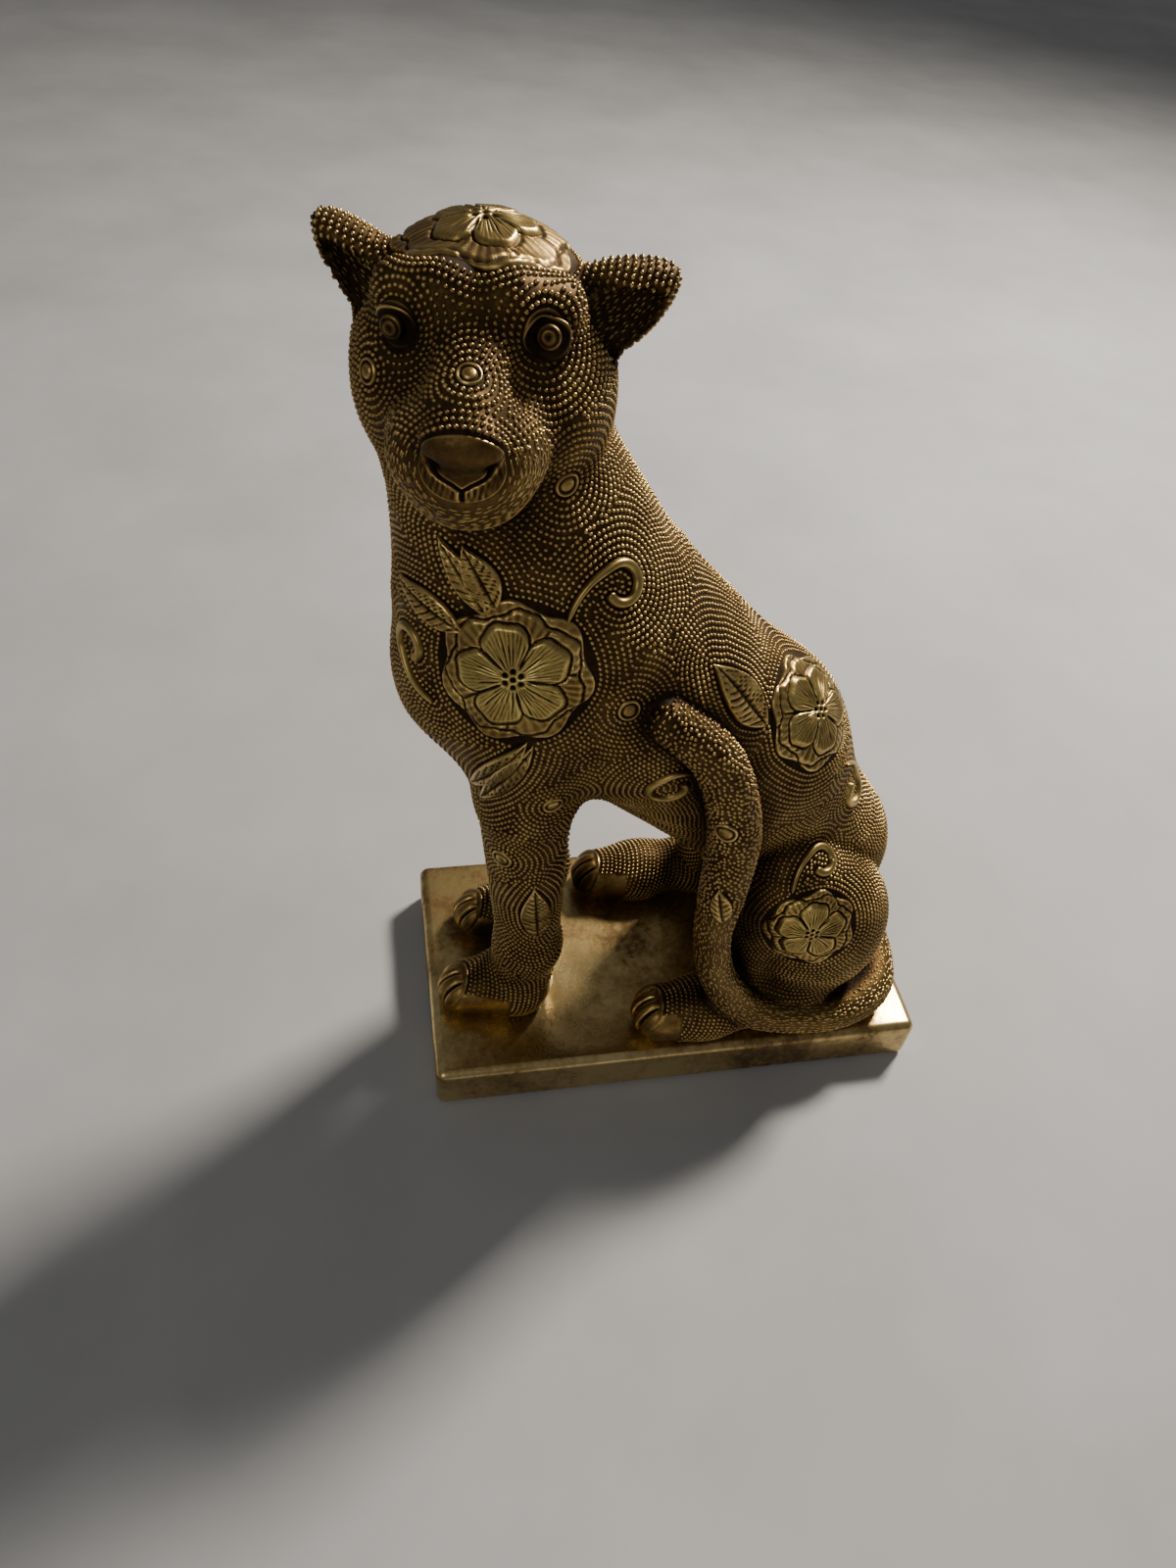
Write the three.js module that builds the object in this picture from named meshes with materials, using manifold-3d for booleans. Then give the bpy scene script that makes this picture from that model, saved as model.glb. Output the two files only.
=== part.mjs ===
// Seated panther figurine on a rectangular plinth, cast in resin and finished in antique gold.
// Millimetres. +X is the panther's left, -Y the way its chest faces, +Z up.
// The origin is the centre of the plinth's underside.
import * as THREE from "three";
import { mergeVertices } from "three/addons/utils/BufferGeometryUtils.js";
import Module from "manifold-3d";

// Sizes
const PLINTH = { length: 140, width: 76, height: 15, corner: 3, edge: 1.6 };
const RAISED = 1.2; // height of the flowers, leaves and scrolls above the skin
const GROOVE = 1.1; // depth of the lines between the toes and under the nose
const HEAD = { at: [0, -55.5, 183], yaw: -12, roll: 1 }; // the head looks over the panther's left shoulder
const EAR = { half: 10.5, thick: 5, point: 0.5 }; // half length, half thickness, narrowing towards the tip
const TAIL_STEPS = 40;
const CELL = 1.1; // grid spacing used to find the figure's surface
const TRIANGLES = 9200; // triangles kept on the figure

const V = (x, y, z) => new THREE.Vector3(x, y, z);

// Shapes are distance fields: functions of a point that are negative inside.
function blend(a, b, k) {
  if (k === 0) return Math.min(a, b);
  const h = Math.max(k - Math.abs(a - b), 0);
  return Math.min(a, b) - (h * h) / (4 * k);
}

// A rod with round ends, of radius ra at a and rb at b; slim narrows it from side to side.
function rod(a, b, ra, rb, slim = 1) {
  const along = b.clone().sub(a);
  const square = along.lengthSq();
  const at = (x, y, z) => {
    const dx = (x - a.x) * slim;
    const dy = y - a.y;
    const dz = z - a.z;
    const t = Math.min(1, Math.max(0, (dx * along.x + dy * along.y + dz * along.z) / square));
    return Math.hypot(dx - along.x * t, dy - along.y * t, dz - along.z * t) - ra - (rb - ra) * t;
  };
  return { at, box: new THREE.Box3().setFromPoints([a, b]).expandByScalar(Math.max(ra, rb)) };
}

// An ellipsoid whose half axes lie along the columns of a rotation. With point it narrows towards the end
// of its first axis, as a leaf does.
function egg(centre, half, turn = new THREE.Matrix3(), point = 0) {
  const e = turn.elements;
  const at = (x, y, z) => {
    const dx = x - centre.x;
    const dy = y - centre.y;
    const dz = z - centre.z;
    const u = (dx * e[0] + dy * e[1] + dz * e[2]) / half.x;
    const across = (dx * e[3] + dy * e[4] + dz * e[5]) / half.y;
    const v = across / (1 - point * THREE.MathUtils.clamp(u, -1, 1));
    const w = (dx * e[6] + dy * e[7] + dz * e[8]) / half.z;
    const near = Math.hypot(u, v, w);
    const slope = Math.hypot(u / half.x, v / half.y, w / half.z);
    return slope < 1e-9 ? -Math.min(half.x, half.y, half.z) : (near * (near - 1)) / slope;
  };
  const reach = Math.max(half.x, half.y, half.z);
  return { at, box: new THREE.Box3().setFromPoints([centre]).expandByScalar(reach) };
}

// Several shapes run together, to be added as one.
function merged(shapes, k) {
  const box = shapes.reduce((all, shape) => all.union(shape.box), new THREE.Box3());
  const at = (x, y, z) => shapes.reduce((d, shape) => blend(d, shape.at(x, y, z), k), 1e3);
  return { at, box };
}

// The figure, with z measured from the top of the plinth
const masses = [];
const add = (shape, k) => masses.push({ ...shape, k, cut: false });
const cut = (shape, k) => masses.push({ ...shape, k, cut: true });
const bothSides = (make) => [1, -1].forEach(make);

function trunk() {
  add(rod(V(0, -47, 118), V(0, -20, 107), 26, 26.5), 8);
  add(rod(V(0, -20, 107), V(0, 8, 85), 26.5, 25, 1.08), 14);
  add(rod(V(0, 8, 85), V(0, 34.5, 44), 25, 23.5, 1.2), 14);
  add(rod(V(0, 34, 44), V(0, 34, 18), 23, 21, 1.2), 8);
  add(rod(V(0, -50, 112), V(0, -44, 88), 22, 15), 10);
  add(rod(V(0, -38.5, 131), V(0, -52, 167), 28, 19), 12);
  add(rod(V(0, -52, 138), V(0, -57, 162), 21, 16.5), 8);
}

// The right foreleg stands a little behind the left one.
function foreleg(side, back) {
  const y = -43 + back;
  add(rod(V(14 * side, -45, 108), V(14 * side, -46 + back / 2, 84), 14, 11), 8);
  add(rod(V(14 * side, -46 + back / 2, 84), V(14 * side, y, 26), 11.2, 7.8), 3);
  add(rod(V(14 * side, y, 26), V(13 * side, y - 2, 9), 7.8, 8.5), 6);
  add(rod(V(13 * side, y - 3, 6.5), V(13 * side, y - 17, 5), 9.5, 7.5), 6);
}

function belly() {
  add(rod(V(0, -26, 92), V(0, 8, 64), 15.5, 15), 2);
}

function hindleg(side, toe, x) {
  const dome = egg(V(18 * side, 37, 30), V(17, 20, 26));
  const knee = egg(V(17 * side, 25, 47), V(14, 15, 20));
  add(merged([dome, knee], 9), 1.5);
  add(rod(V(20 * side, 20, 36), V(22 * side, 16, 9), 8, 7.5), 4);
  add(rod(V(27 * side, 34, 8), V(x * side, 12 + toe, 7), 8.4, 7.4), 6);
  add(rod(V(x * side, 12 + toe, 6.5), V(x * side, toe, 5.5), 8.4, 8.2), 6);
}

// The tail leaves the rump, rounds the left haunch on the plinth and climbs the left flank.
// Its points are x, y, z and the radius there.
function tail() {
  const route = [
    [0, 56, 16, 7], [14, 60, 9, 6.8], [26, 57, 7, 6.5], [32, 46, 6, 6], [32.5, 31, 6.5, 6],
    [32, 16.5, 11.5, 5.6], [31.5, 6.5, 26, 4.8], [31, 2, 44, 4.7], [30.5, 1.8, 62, 5.6],
    [30, 1, 84, 6.1], [30, -7, 107, 5.6], [28.5, -19, 118, 4.6],
  ];
  const line = new THREE.CatmullRomCurve3(route.map(([x, y, z]) => V(x, y, z)));
  const radius = (t) => {
    const i = Math.min(Math.floor(t * (route.length - 1)), route.length - 2);
    return THREE.MathUtils.lerp(route[i][3], route[i + 1][3], t * (route.length - 1) - i);
  };
  const rods = [];
  for (let i = 0; i < TAIL_STEPS; i++) {
    const a = i / TAIL_STEPS;
    const b = (i + 1) / TAIL_STEPS;
    rods.push(rod(line.getPoint(a), line.getPoint(b), radius(a), radius(b)));
  }
  add(merged(rods, 0), 1);
}

function columns(a, b, c) {
  return new THREE.Matrix3().set(a.x, b.x, c.x, a.y, b.y, c.y, a.z, b.z, c.z);
}

// Head coordinates: f forward to the nose, l to the head's own left, u up.
const headTurn = (() => {
  const yaw = THREE.MathUtils.degToRad(HEAD.yaw);
  const roll = THREE.MathUtils.degToRad(HEAD.roll);
  const f = V(Math.cos(yaw), Math.sin(yaw), 0);
  const l = V(-f.y * Math.cos(roll), f.x * Math.cos(roll), -Math.sin(roll));
  return columns(f, l, f.clone().cross(l));
})();

function onHead(f, l, u) {
  return V(f, l, u).applyMatrix3(headTurn).add(V(...HEAD.at));
}

function ear(root, tip, half) {
  const along = tip.clone().sub(root).normalize();
  const front = V(0.85, 0, -0.5).projectOnPlane(along).normalize();
  const turn = headTurn.clone().multiply(columns(along, front.clone().cross(along), front));
  const middle = root.clone().lerp(tip, 0.45);
  const at = (out, ahead) =>
    onHead(...middle.clone().addScaledVector(along, out).addScaledVector(front, ahead));
  add(egg(at(0, 0), V(EAR.half, half, EAR.thick), turn, EAR.point), 3);
  cut(egg(at(-1, 4.5), V(EAR.half - 2.5, half - 2, EAR.thick - 0.5), turn, EAR.point), 1);
}

function head() {
  add(egg(onHead(-2, 0, 0.5), V(24, 23, 20.4), headTurn), 10);
  add(egg(onHead(24, 0.2, -5.5), V(14, 13.5, 11), headTurn), 5);
  add(rod(onHead(10, 0.5, 10), onHead(30, 0.5, 2.5), 8, 6), 4);
  add(egg(onHead(25, 0.5, -12), V(9, 9, 6), headTurn), 4);
  bothSides((side) => {
    add(egg(onHead(6, 10.5 * side + 0.8, -5), V(12, 11, 11.5), headTurn), 6);
    add(rod(onHead(13.5, 6 * side, 15), onHead(10.5, 13 * side, 14), 5, 4), 5);
    cut(egg(onHead(24, 12.5 * side, 8.5), V(7, 6, 6.5), headTurn), 2.5);
    add(egg(onHead(15.5, 12 * side, 10.5), V(3, 3.6, 3.6), headTurn), 0.8);
  });
  ear(V(-3, -16, 6.5), V(-4.5, -28.5, 18), 6.3);
  ear(V(-2, 16.5, 6.5), V(-3, 32.5, 16.5), 8.5);
  add(egg(onHead(35.5, 0.8, 1.2), V(4, 6.5, 4.2), headTurn), 2);
}

trunk();
foreleg(1, 0);
foreleg(-1, 6.5);
belly();
hindleg(1, -6, 28);
hindleg(-1, -15, 24);
tail();
head();

function skin(x, y, z) {
  let d = 1e3;
  for (const { at, box, k, cut } of masses) {
    const gap = Math.max(
      box.min.x - x, x - box.max.x, box.min.y - y, y - box.max.y, box.min.z - z, z - box.max.z,
    );
    if (gap > k + 2 && (cut || gap > d + k)) continue;
    d = cut ? -blend(-d, at(x, y, z), k) : blend(d, at(x, y, z), k);
  }
  return d;
}

// Ornament is low relief drawn on the skin, each piece in a flat frame that touches it at one point.
const ornaments = [];

function slope(p) {
  const e = 0.2;
  return V(
    skin(p.x + e, p.y, p.z) - skin(p.x - e, p.y, p.z),
    skin(p.x, p.y + e, p.z) - skin(p.x, p.y - e, p.z),
    skin(p.x, p.y, p.z + e) - skin(p.x, p.y, p.z - e),
  ).normalize();
}

function onSkin(point) {
  const p = V(...point);
  for (let i = 0; i < 12; i++) p.addScaledVector(slope(p), -skin(p.x, p.y, p.z) * 0.9);
  return p;
}

// The drawing's u axis runs from at towards the point ahead.
function ornament(at, ahead, reach, height) {
  const origin = onSkin(at);
  const normal = slope(origin);
  const u = V(...ahead).sub(origin).projectOnPlane(normal).normalize();
  ornaments.push({ origin, normal, u, v: normal.clone().cross(u), reach, height });
}

const ramp = (inside, run = 0.9) => THREE.MathUtils.smoothstep(inside, 0, run);

// Five petals over a ruffled outer row, with a raised middle; turn is the angle of the first petal.
function flower(at, ahead, radius, turn = 0) {
  ornament(at, ahead, radius * 1.1, (u, v) => {
    const r = Math.hypot(u, v);
    const a = Math.atan2(v, u) - turn;
    const rim = radius * (0.94 + 0.06 * Math.cos(7 * a + 1));
    const petal = radius * (0.42 + 0.28 * Math.sqrt(Math.abs(Math.cos(2.5 * a))));
    const middle = 0.4 * ramp(0.17 * radius - r, 1.2);
    return RAISED * (0.7 * ramp(rim - r) + 0.8 * ramp(petal - r, 1.4) + middle);
  });
}

function leaf(base, tip, width) {
  const a = V(...base);
  const b = V(...tip);
  const half = a.distanceTo(b) / 2;
  ornament(a.lerp(b, 0.5).toArray(), tip, half * 1.1, (u, v) => {
    if (Math.abs(u) >= half) return 0;
    const side = (width / 2) * Math.sin(Math.PI * Math.pow((half - u) / (2 * half), 1.2)) ** 0.8;
    return RAISED * (ramp(side - Math.abs(v)) - 0.5 * ramp(0.7 - Math.abs(v), 0.5) * ramp(side - 1));
  });
}

function fromLine(points, u, v) {
  let near = 1e3;
  for (let i = 1; i < points.length; i++) {
    const [ax, ay] = points[i - 1];
    const [bx, by] = points[i];
    const square = (bx - ax) ** 2 + (by - ay) ** 2;
    const t = THREE.MathUtils.clamp(((u - ax) * (bx - ax) + (v - ay) * (by - ay)) / square, 0, 1);
    near = Math.min(near, Math.hypot(u - ax - (bx - ax) * t, v - ay - (by - ay) * t));
  }
  return near;
}

// A stem that ends in a hook of the given radius round at; side says which way it bends.
function scroll(at, start, radius, side, width = 2.4) {
  const stem = V(...at).distanceTo(V(...start));
  const line = [[-stem, 0], [-stem * 0.72, side * radius * 0.62], [-stem * 0.4, side * radius * 0.98]];
  for (let i = 0; i <= 12; i++) {
    const a = side * THREE.MathUtils.degToRad(100 - i * 24);
    const r = radius * (1 - 0.03 * i);
    line.push([Math.cos(a) * r, Math.sin(a) * r]);
  }
  const ahead = V(...at).multiplyScalar(2).sub(V(...start)).toArray();
  const edge = (u, v) => width / 2 - fromLine(line, u, v);
  ornament(at, ahead, stem + 2, (u, v) => RAISED * ramp(edge(u, v) + 0.2));
}

// Lines between the four toes of a paw, drawn from its front towards the leg.
function toes(x, y) {
  ornament([x, y, 9], [x, y + 10, 14], 11, (u, v) => {
    const line = Math.min(Math.abs(v), Math.abs(Math.abs(v) - 4.3));
    return -GROOVE * ramp(1.2 - line, 1.2) * ramp(8 - Math.abs(u), 3);
  });
}

// The nostrils under the sides of the nose, which meet in a line down its middle
function nostrils(at) {
  const half = [[5.4, 8.2], [3.6, 6.6], [1.9, 4.2], [0.4, 1.6], [-0.6, 0], [-4.2, 0]];
  ornament(at, [at[0], at[1], at[2] + 9], 11, (u, v) => -GROOVE * ramp(0.9 - fromLine(half, u, Math.abs(v))));
}

// The left side follows the photograph and the right side repeats it.
bothSides((side) => {
  const at = (x, y, z) => [x * side, y, z];
  flower(at(26.8, -51.5, 130.3), at(23.3, -51.5, 144.2), 16.5, side * 0.21);
  leaf(at(22.3, -54.4, 143.6), at(18, -60.7, 155.7), 7.6);
  leaf(at(21.7, -56.1, 142.1), at(13.9, -64, 156), 6);
  leaf(at(20.6, -59.6, 137.5), at(4.5, -69, 141.5), 7);
  leaf(at(29.2, -47.9, 115), at(15, -58.6, 92), 6);
  leaf(at(29.4, -46.8, 114), at(18, -57, 88.5), 6);
  scroll(at(20.8, -31.1, 146.9), at(25.1, -41.9, 142.2), 4.7, side);
  scroll(at(11.8, -70.1, 128.1), at(19.5, -66.7, 118.7), 4.6, side);
  scroll(at(27.2, -15.6, 96), at(27.5, -8.5, 101), 5.4, -side);
  leaf(at(22.4, -42.2, 39.1), at(23.8, -44.1, 61), 8);
  leaf(at(20.5, 6.5, 107.5), at(20.2, -9, 126), 10);
  scroll(at(12, 40, 75), at(14, 33, 87), 4.6, side);
  scroll(at(24, 29.5, 62.5), at(29, 21, 57), 4.2, side);
  flower(at(32.5, 28, 45), at(30, 28, 54), 13, 0);
});
flower([13.5, 21, 105], [1.3, 24.9, 107.9], 15, 0.3);
flower([-2, -55.4, 204], [10.5, -56.5, 203], 17, 0.3);
leaf([35.9, 1.2, 57], [36.2, -1.8, 69], 5.5);
toes(13, -66);
toes(-13, -59.5);
toes(28, -12);
toes(-24, -21);
nostrils([37.2, -63, 178.3]);

// The skin with its ornament. Distances along each drawing are measured over the curve of the skin.
function figure(x, y, z) {
  const d = skin(x, y, z);
  if (Math.abs(d) > 4) return d;
  let raised = 0;
  let lowered = 0;
  for (const { origin, normal, u, v, reach, height: at } of ornaments) {
    const dx = x - origin.x;
    const dy = y - origin.y;
    const dz = z - origin.z;
    const far = dx * dx + dy * dy + dz * dz;
    if (far > reach * reach) continue;
    const depth = dx * normal.x + dy * normal.y + dz * normal.z;
    if (Math.abs(depth) > 0.75 * reach) continue;
    const a = dx * u.x + dy * u.y + dz * u.z;
    const b = dx * v.x + dy * v.y + dz * v.z;
    const grow = Math.sqrt(far / Math.max(a * a + b * b, 1e-6));
    const height = at(a * grow, b * grow);
    raised = Math.max(raised, height);
    lowered = Math.min(lowered, height);
  }
  return d - raised - lowered;
}

// Finds where a field is zero, with one point in each grid cell that the surface crosses.
function surface(field, box, cell) {
  const [nx, ny, nz] = box.getSize(V(0, 0, 0)).toArray().map((s) => Math.ceil(s / cell) + 1);
  const id = (i, j, k) => i + nx * (j + ny * k);
  const value = sample(field, box.min, cell, [nx, ny, nz]);
  untangle(value, [1, nx, nx * ny]);
  const corners = [0, 1, 2, 3, 4, 5, 6, 7].map((c) => [c & 1, (c >> 1) & 1, c >> 2]);
  const edges = [];
  corners.forEach((_, a) => [1, 2, 4].forEach((bit) => a & bit || edges.push([a, a | bit])));
  const points = [];
  const pointOf = new Map();
  for (let k = 0; k < nz - 1; k++) {
    for (let j = 0; j < ny - 1; j++) {
      for (let i = 0; i < nx - 1; i++) {
        const at = corners.map(([a, b, c]) => value[id(i + a, j + b, k + c)]);
        const crossed = edges.filter(([a, b]) => at[a] < 0 !== at[b] < 0);
        if (crossed.length === 0) continue;
        const sum = V(0, 0, 0);
        for (const [a, b] of crossed) {
          const t = at[a] / (at[a] - at[b]);
          sum.add(V(...corners[a]).lerp(V(...corners[b]), t));
        }
        pointOf.set(id(i, j, k), points.length);
        points.push(sum.divideScalar(crossed.length).add(V(i, j, k)).multiplyScalar(cell).add(box.min));
      }
    }
  }
  const faces = [];
  const around = [
    [1, [0, nx, nx + nx * ny, nx * ny]],
    [nx, [0, nx * ny, 1 + nx * ny, 1]],
    [nx * ny, [0, 1, 1 + nx, nx]],
  ];
  for (const here of pointOf.keys()) {
    for (const [step, back] of around) {
      if (value[here] < 0 === value[here + step] < 0) continue;
      const quad = back.map((o) => pointOf.get(here - o));
      if (value[here] >= 0) quad.reverse();
      faces.push([quad[0], quad[1], quad[2]], [quad[0], quad[2], quad[3]]);
    }
  }
  return { points, faces };
}

// Samples a field on a grid, skipping blocks of cells that the surface can't reach.
function sample(field, min, cell, [nx, ny, nz]) {
  const block = 4;
  const value = new Float32Array(nx * ny * nz);
  const at = (i, j, k) => field(min.x + i * cell, min.y + j * cell, min.z + k * cell);
  for (let k = 0; k < nz; k += block) {
    for (let j = 0; j < ny; j += block) {
      for (let i = 0; i < nx; i += block) {
        const middle = at(i + 1.5, j + 1.5, k + 1.5);
        const near = Math.abs(middle) < 3.2 * block * 0.5 * cell + 2;
        for (let c = k; c < Math.min(k + block, nz); c++) {
          for (let b = j; b < Math.min(j + block, ny); b++) {
            for (let a = i; a < Math.min(i + block, nx); a++) {
              value[a + nx * (b + ny * c)] = near ? at(a, b, c) : middle;
            }
          }
        }
      }
    }
  }
  return value;
}

// Where the signs round a grid square alternate, moves the shallower inner corner out, so that no two
// sheets of the surface share an edge. Corners only ever move out, so this ends.
function untangle(value, [i, j, k]) {
  let found = true;
  while (found) {
    found = false;
    for (const [p, q] of [[i, j], [j, k], [k, i]]) {
      for (let a = 0; a + p + q < value.length; a++) {
        const inner = [a, a + p, a + p + q, a + q].filter((n) => value[n] < 0);
        const apart = Math.abs(inner[1] - inner[0]);
        if (inner.length !== 2 || (apart !== p + q && apart !== Math.abs(p - q))) continue;
        value[value[inner[0]] > value[inner[1]] ? inner[0] : inner[1]] = 0.02;
        found = true;
      }
    }
  }
}

// Moves each point onto the zero of a field.
function settle(field, points) {
  const e = 0.15;
  for (const p of points) {
    for (let i = 0; i < 2; i++) {
      const g = V(
        field(p.x + e, p.y, p.z) - field(p.x - e, p.y, p.z),
        field(p.x, p.y + e, p.z) - field(p.x, p.y - e, p.z),
        field(p.x, p.y, p.z + e) - field(p.x, p.y, p.z - e),
      ).divideScalar(2 * e);
      const move = -field(p.x, p.y, p.z) / Math.max(g.lengthSq(), 0.25);
      p.addScaledVector(g, THREE.MathUtils.clamp(move, -0.4, 0.4));
    }
  }
}

// Ten numbers that give the squared distance of any point from a set of planes.
function planes(a, b, c) {
  const n = b.clone().sub(a).cross(c.clone().sub(a));
  const area = n.length();
  if (area < 1e-12) return new Float64Array(10);
  n.divideScalar(area);
  const d = -n.dot(a);
  const p = [n.x, n.y, n.z, d];
  const out = [];
  for (let i = 0; i < 4; i++) {
    for (let j = i; j < 4; j++) out.push(p[i] * p[j] * area);
  }
  return Float64Array.from(out);
}

function strain([xx, xy, xz, xw, yy, yz, yw, zz, zw, ww], { x, y, z }) {
  const mixed = xy * x * y + xz * x * z + yz * y * z;
  return xx * x * x + yy * y * y + zz * z * z + ww + 2 * (mixed + xw * x + yw * y + zw * z);
}

// The point that lies nearest to a set of planes, or the best of three on the edge if they are nearly flat.
function bestPoint(q, a, b) {
  const [xx, xy, xz, xw, yy, yz, yw, zz, zw] = q;
  const matrix = new THREE.Matrix3().set(xx, xy, xz, xy, yy, yz, xz, yz, zz);
  const middle = a.clone().lerp(b, 0.5);
  if (Math.abs(matrix.determinant()) > 1e-3 * Math.pow(xx + yy + zz, 3)) {
    const p = V(-xw, -yw, -zw).applyMatrix3(matrix.invert());
    if (p.distanceTo(middle) < 1.5 * a.distanceTo(b)) return p;
  }
  return [middle, a.clone(), b.clone()].sort((p, r) => strain(q, p) - strain(q, r))[0];
}

// Takes out edges, least noticeable first, until the wanted number of triangles is left.
function simplify({ points, faces }, wanted) {
  const sums = points.map(() => new Float64Array(10));
  const facesOf = points.map(() => new Set());
  faces.forEach((face, f) => {
    const q = planes(...face.map((i) => points[i]));
    face.forEach((i) => {
      q.forEach((value, n) => (sums[i][n] += value));
      facesOf[i].add(f);
    });
  });
  const alive = faces.map(() => true);
  const edition = new Int32Array(points.length);
  const queue = new Queue();
  const offer = (a, b) => {
    const q = sums[a].map((value, n) => value + sums[b][n]);
    const at = bestPoint(q, points[a], points[b]);
    const cost = strain(q, at) + 1e-4 * points[a].distanceToSquared(points[b]);
    queue.push({ cost, a, b, at, q, age: edition[a] + edition[b] });
  };
  const near = (i) => new Set([...facesOf[i]].flatMap((f) => faces[f]).filter((j) => j !== i));
  const turnsOver = (i, other, at) =>
    [...facesOf[i]].some((f) => {
      if (faces[f].includes(other)) return false;
      const before = new THREE.Triangle(...faces[f].map((j) => points[j])).getNormal(V(0, 0, 0));
      const moved = faces[f].map((j) => (j === i ? at : points[j]));
      return before.dot(new THREE.Triangle(...moved).getNormal(V(0, 0, 0))) < 0.35;
    });
  points.forEach((_, i) => near(i).forEach((j) => i < j && offer(i, j)));
  let left = faces.length;
  while (left > wanted && queue.size > 0) {
    const { a, b, at, q, age } = queue.pop();
    if (age !== edition[a] + edition[b] || facesOf[a].size === 0 || facesOf[b].size === 0) continue;
    const nearB = near(b);
    if ([...near(a)].filter((j) => nearB.has(j)).length !== 2) continue;
    if (turnsOver(a, b, at) || turnsOver(b, a, at)) continue;
    for (const f of facesOf[b]) {
      if (faces[f].includes(a)) {
        alive[f] = false;
        left--;
        faces[f].forEach((j) => j !== b && facesOf[j].delete(f));
      } else {
        faces[f] = faces[f].map((j) => (j === b ? a : j));
        facesOf[a].add(f);
      }
    }
    facesOf[b].clear();
    points[a].copy(at);
    sums[a] = q;
    edition[a]++;
    near(a).forEach((j) => offer(a, j));
  }
  return { points, faces: faces.filter((_, f) => alive[f]) };
}

// A queue that gives back its cheapest item first.
class Queue {
  items = [];

  get size() {
    return this.items.length;
  }

  push(item) {
    let i = this.items.push(item) - 1;
    while (i > 0) {
      const up = (i - 1) >> 1;
      if (this.items[up].cost <= this.items[i].cost) break;
      [this.items[up], this.items[i]] = [this.items[i], this.items[up]];
      i = up;
    }
  }

  pop() {
    const first = this.items[0];
    const last = this.items.pop();
    if (this.items.length === 0) return first;
    this.items[0] = last;
    let i = 0;
    for (;;) {
      const left = 2 * i + 1;
      const right = left + 1;
      let low = i;
      if (left < this.items.length && this.items[left].cost < this.items[low].cost) low = left;
      if (right < this.items.length && this.items[right].cost < this.items[low].cost) low = right;
      if (low === i) return first;
      [this.items[low], this.items[i]] = [this.items[i], this.items[low]];
      i = low;
    }
  }
}

const solids = await Module();
solids.setup();

function toSolid({ points, faces }) {
  const used = [...new Set(faces.flat())];
  const place = new Map(used.map((i, n) => [i, n]));
  return new solids.Manifold(
    new solids.Mesh({
      numProp: 3,
      vertProperties: Float32Array.from(used.flatMap((i) => points[i].toArray())),
      triVerts: Uint32Array.from(faces.flat().map((i) => place.get(i))),
    }),
  );
}

function fromGeometry(geometry) {
  const merged = mergeVertices(geometry.deleteAttribute("normal").deleteAttribute("uv"));
  return new solids.Manifold(
    new solids.Mesh({
      numProp: 3,
      vertProperties: merged.attributes.position.array,
      triVerts: Uint32Array.from(merged.index.array),
    }),
  );
}

function toGeometry(solid) {
  const mesh = solid.getMesh();
  const geometry = new THREE.BufferGeometry();
  geometry.setAttribute("position", new THREE.BufferAttribute(mesh.vertProperties, 3));
  geometry.setIndex(new THREE.BufferAttribute(mesh.triVerts, 1));
  geometry.computeVertexNormals();
  return geometry;
}

// The figure's feet, haunches and tail are cut flat where they meet the plinth.
function pantherGeometry() {
  const box = new THREE.Box3(V(-46, -100, -4), V(48, 80, 216));
  const net = surface(figure, box, CELL);
  settle(figure, net.points);
  const body = simplify(net, TRIANGLES);
  body.points.forEach((p) => p.add(V(0, 0, PLINTH.height)));
  const below = new THREE.BoxGeometry(200, 240, 40).translate(0, 0, PLINTH.height - 20);
  return toGeometry(toSolid(body).subtract(fromGeometry(below)));
}

// A slab with rounded corners and softened edges
function plinthGeometry() {
  const { length, width, height, corner, edge } = PLINTH;
  const x = width / 2 - edge;
  const y = length / 2 - edge;
  const r = corner - edge;
  const outline = new THREE.Shape();
  outline.moveTo(x - r, -y);
  outline.absarc(x - r, -y + r, r, -Math.PI / 2, 0);
  outline.absarc(x - r, y - r, r, 0, Math.PI / 2);
  outline.absarc(-x + r, y - r, r, Math.PI / 2, Math.PI);
  outline.absarc(-x + r, -y + r, r, Math.PI, 1.5 * Math.PI);
  return new THREE.ExtrudeGeometry(outline, {
    depth: height - 2 * edge,
    bevelThickness: edge,
    bevelSize: edge,
    bevelSegments: 3,
    curveSegments: 4,
  }).translate(0, 0, edge);
}

function part(name, geometry, colour, roughness) {
  const material = new THREE.MeshStandardMaterial({ color: colour, metalness: 0.8, roughness, name });
  const mesh = new THREE.Mesh(geometry, material);
  mesh.name = name;
  return mesh;
}

const figurine = new THREE.Group();
figurine.name = "panther_figurine";
figurine.add(part("panther", pantherGeometry(), 0x7a5a2c, 0.5));
figurine.add(part("plinth", plinthGeometry(), 0xa8873f, 0.4));

export default figurine;
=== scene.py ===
import math

import bpy
import numpy as np
from mathutils import Matrix, Vector, kdtree


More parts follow.
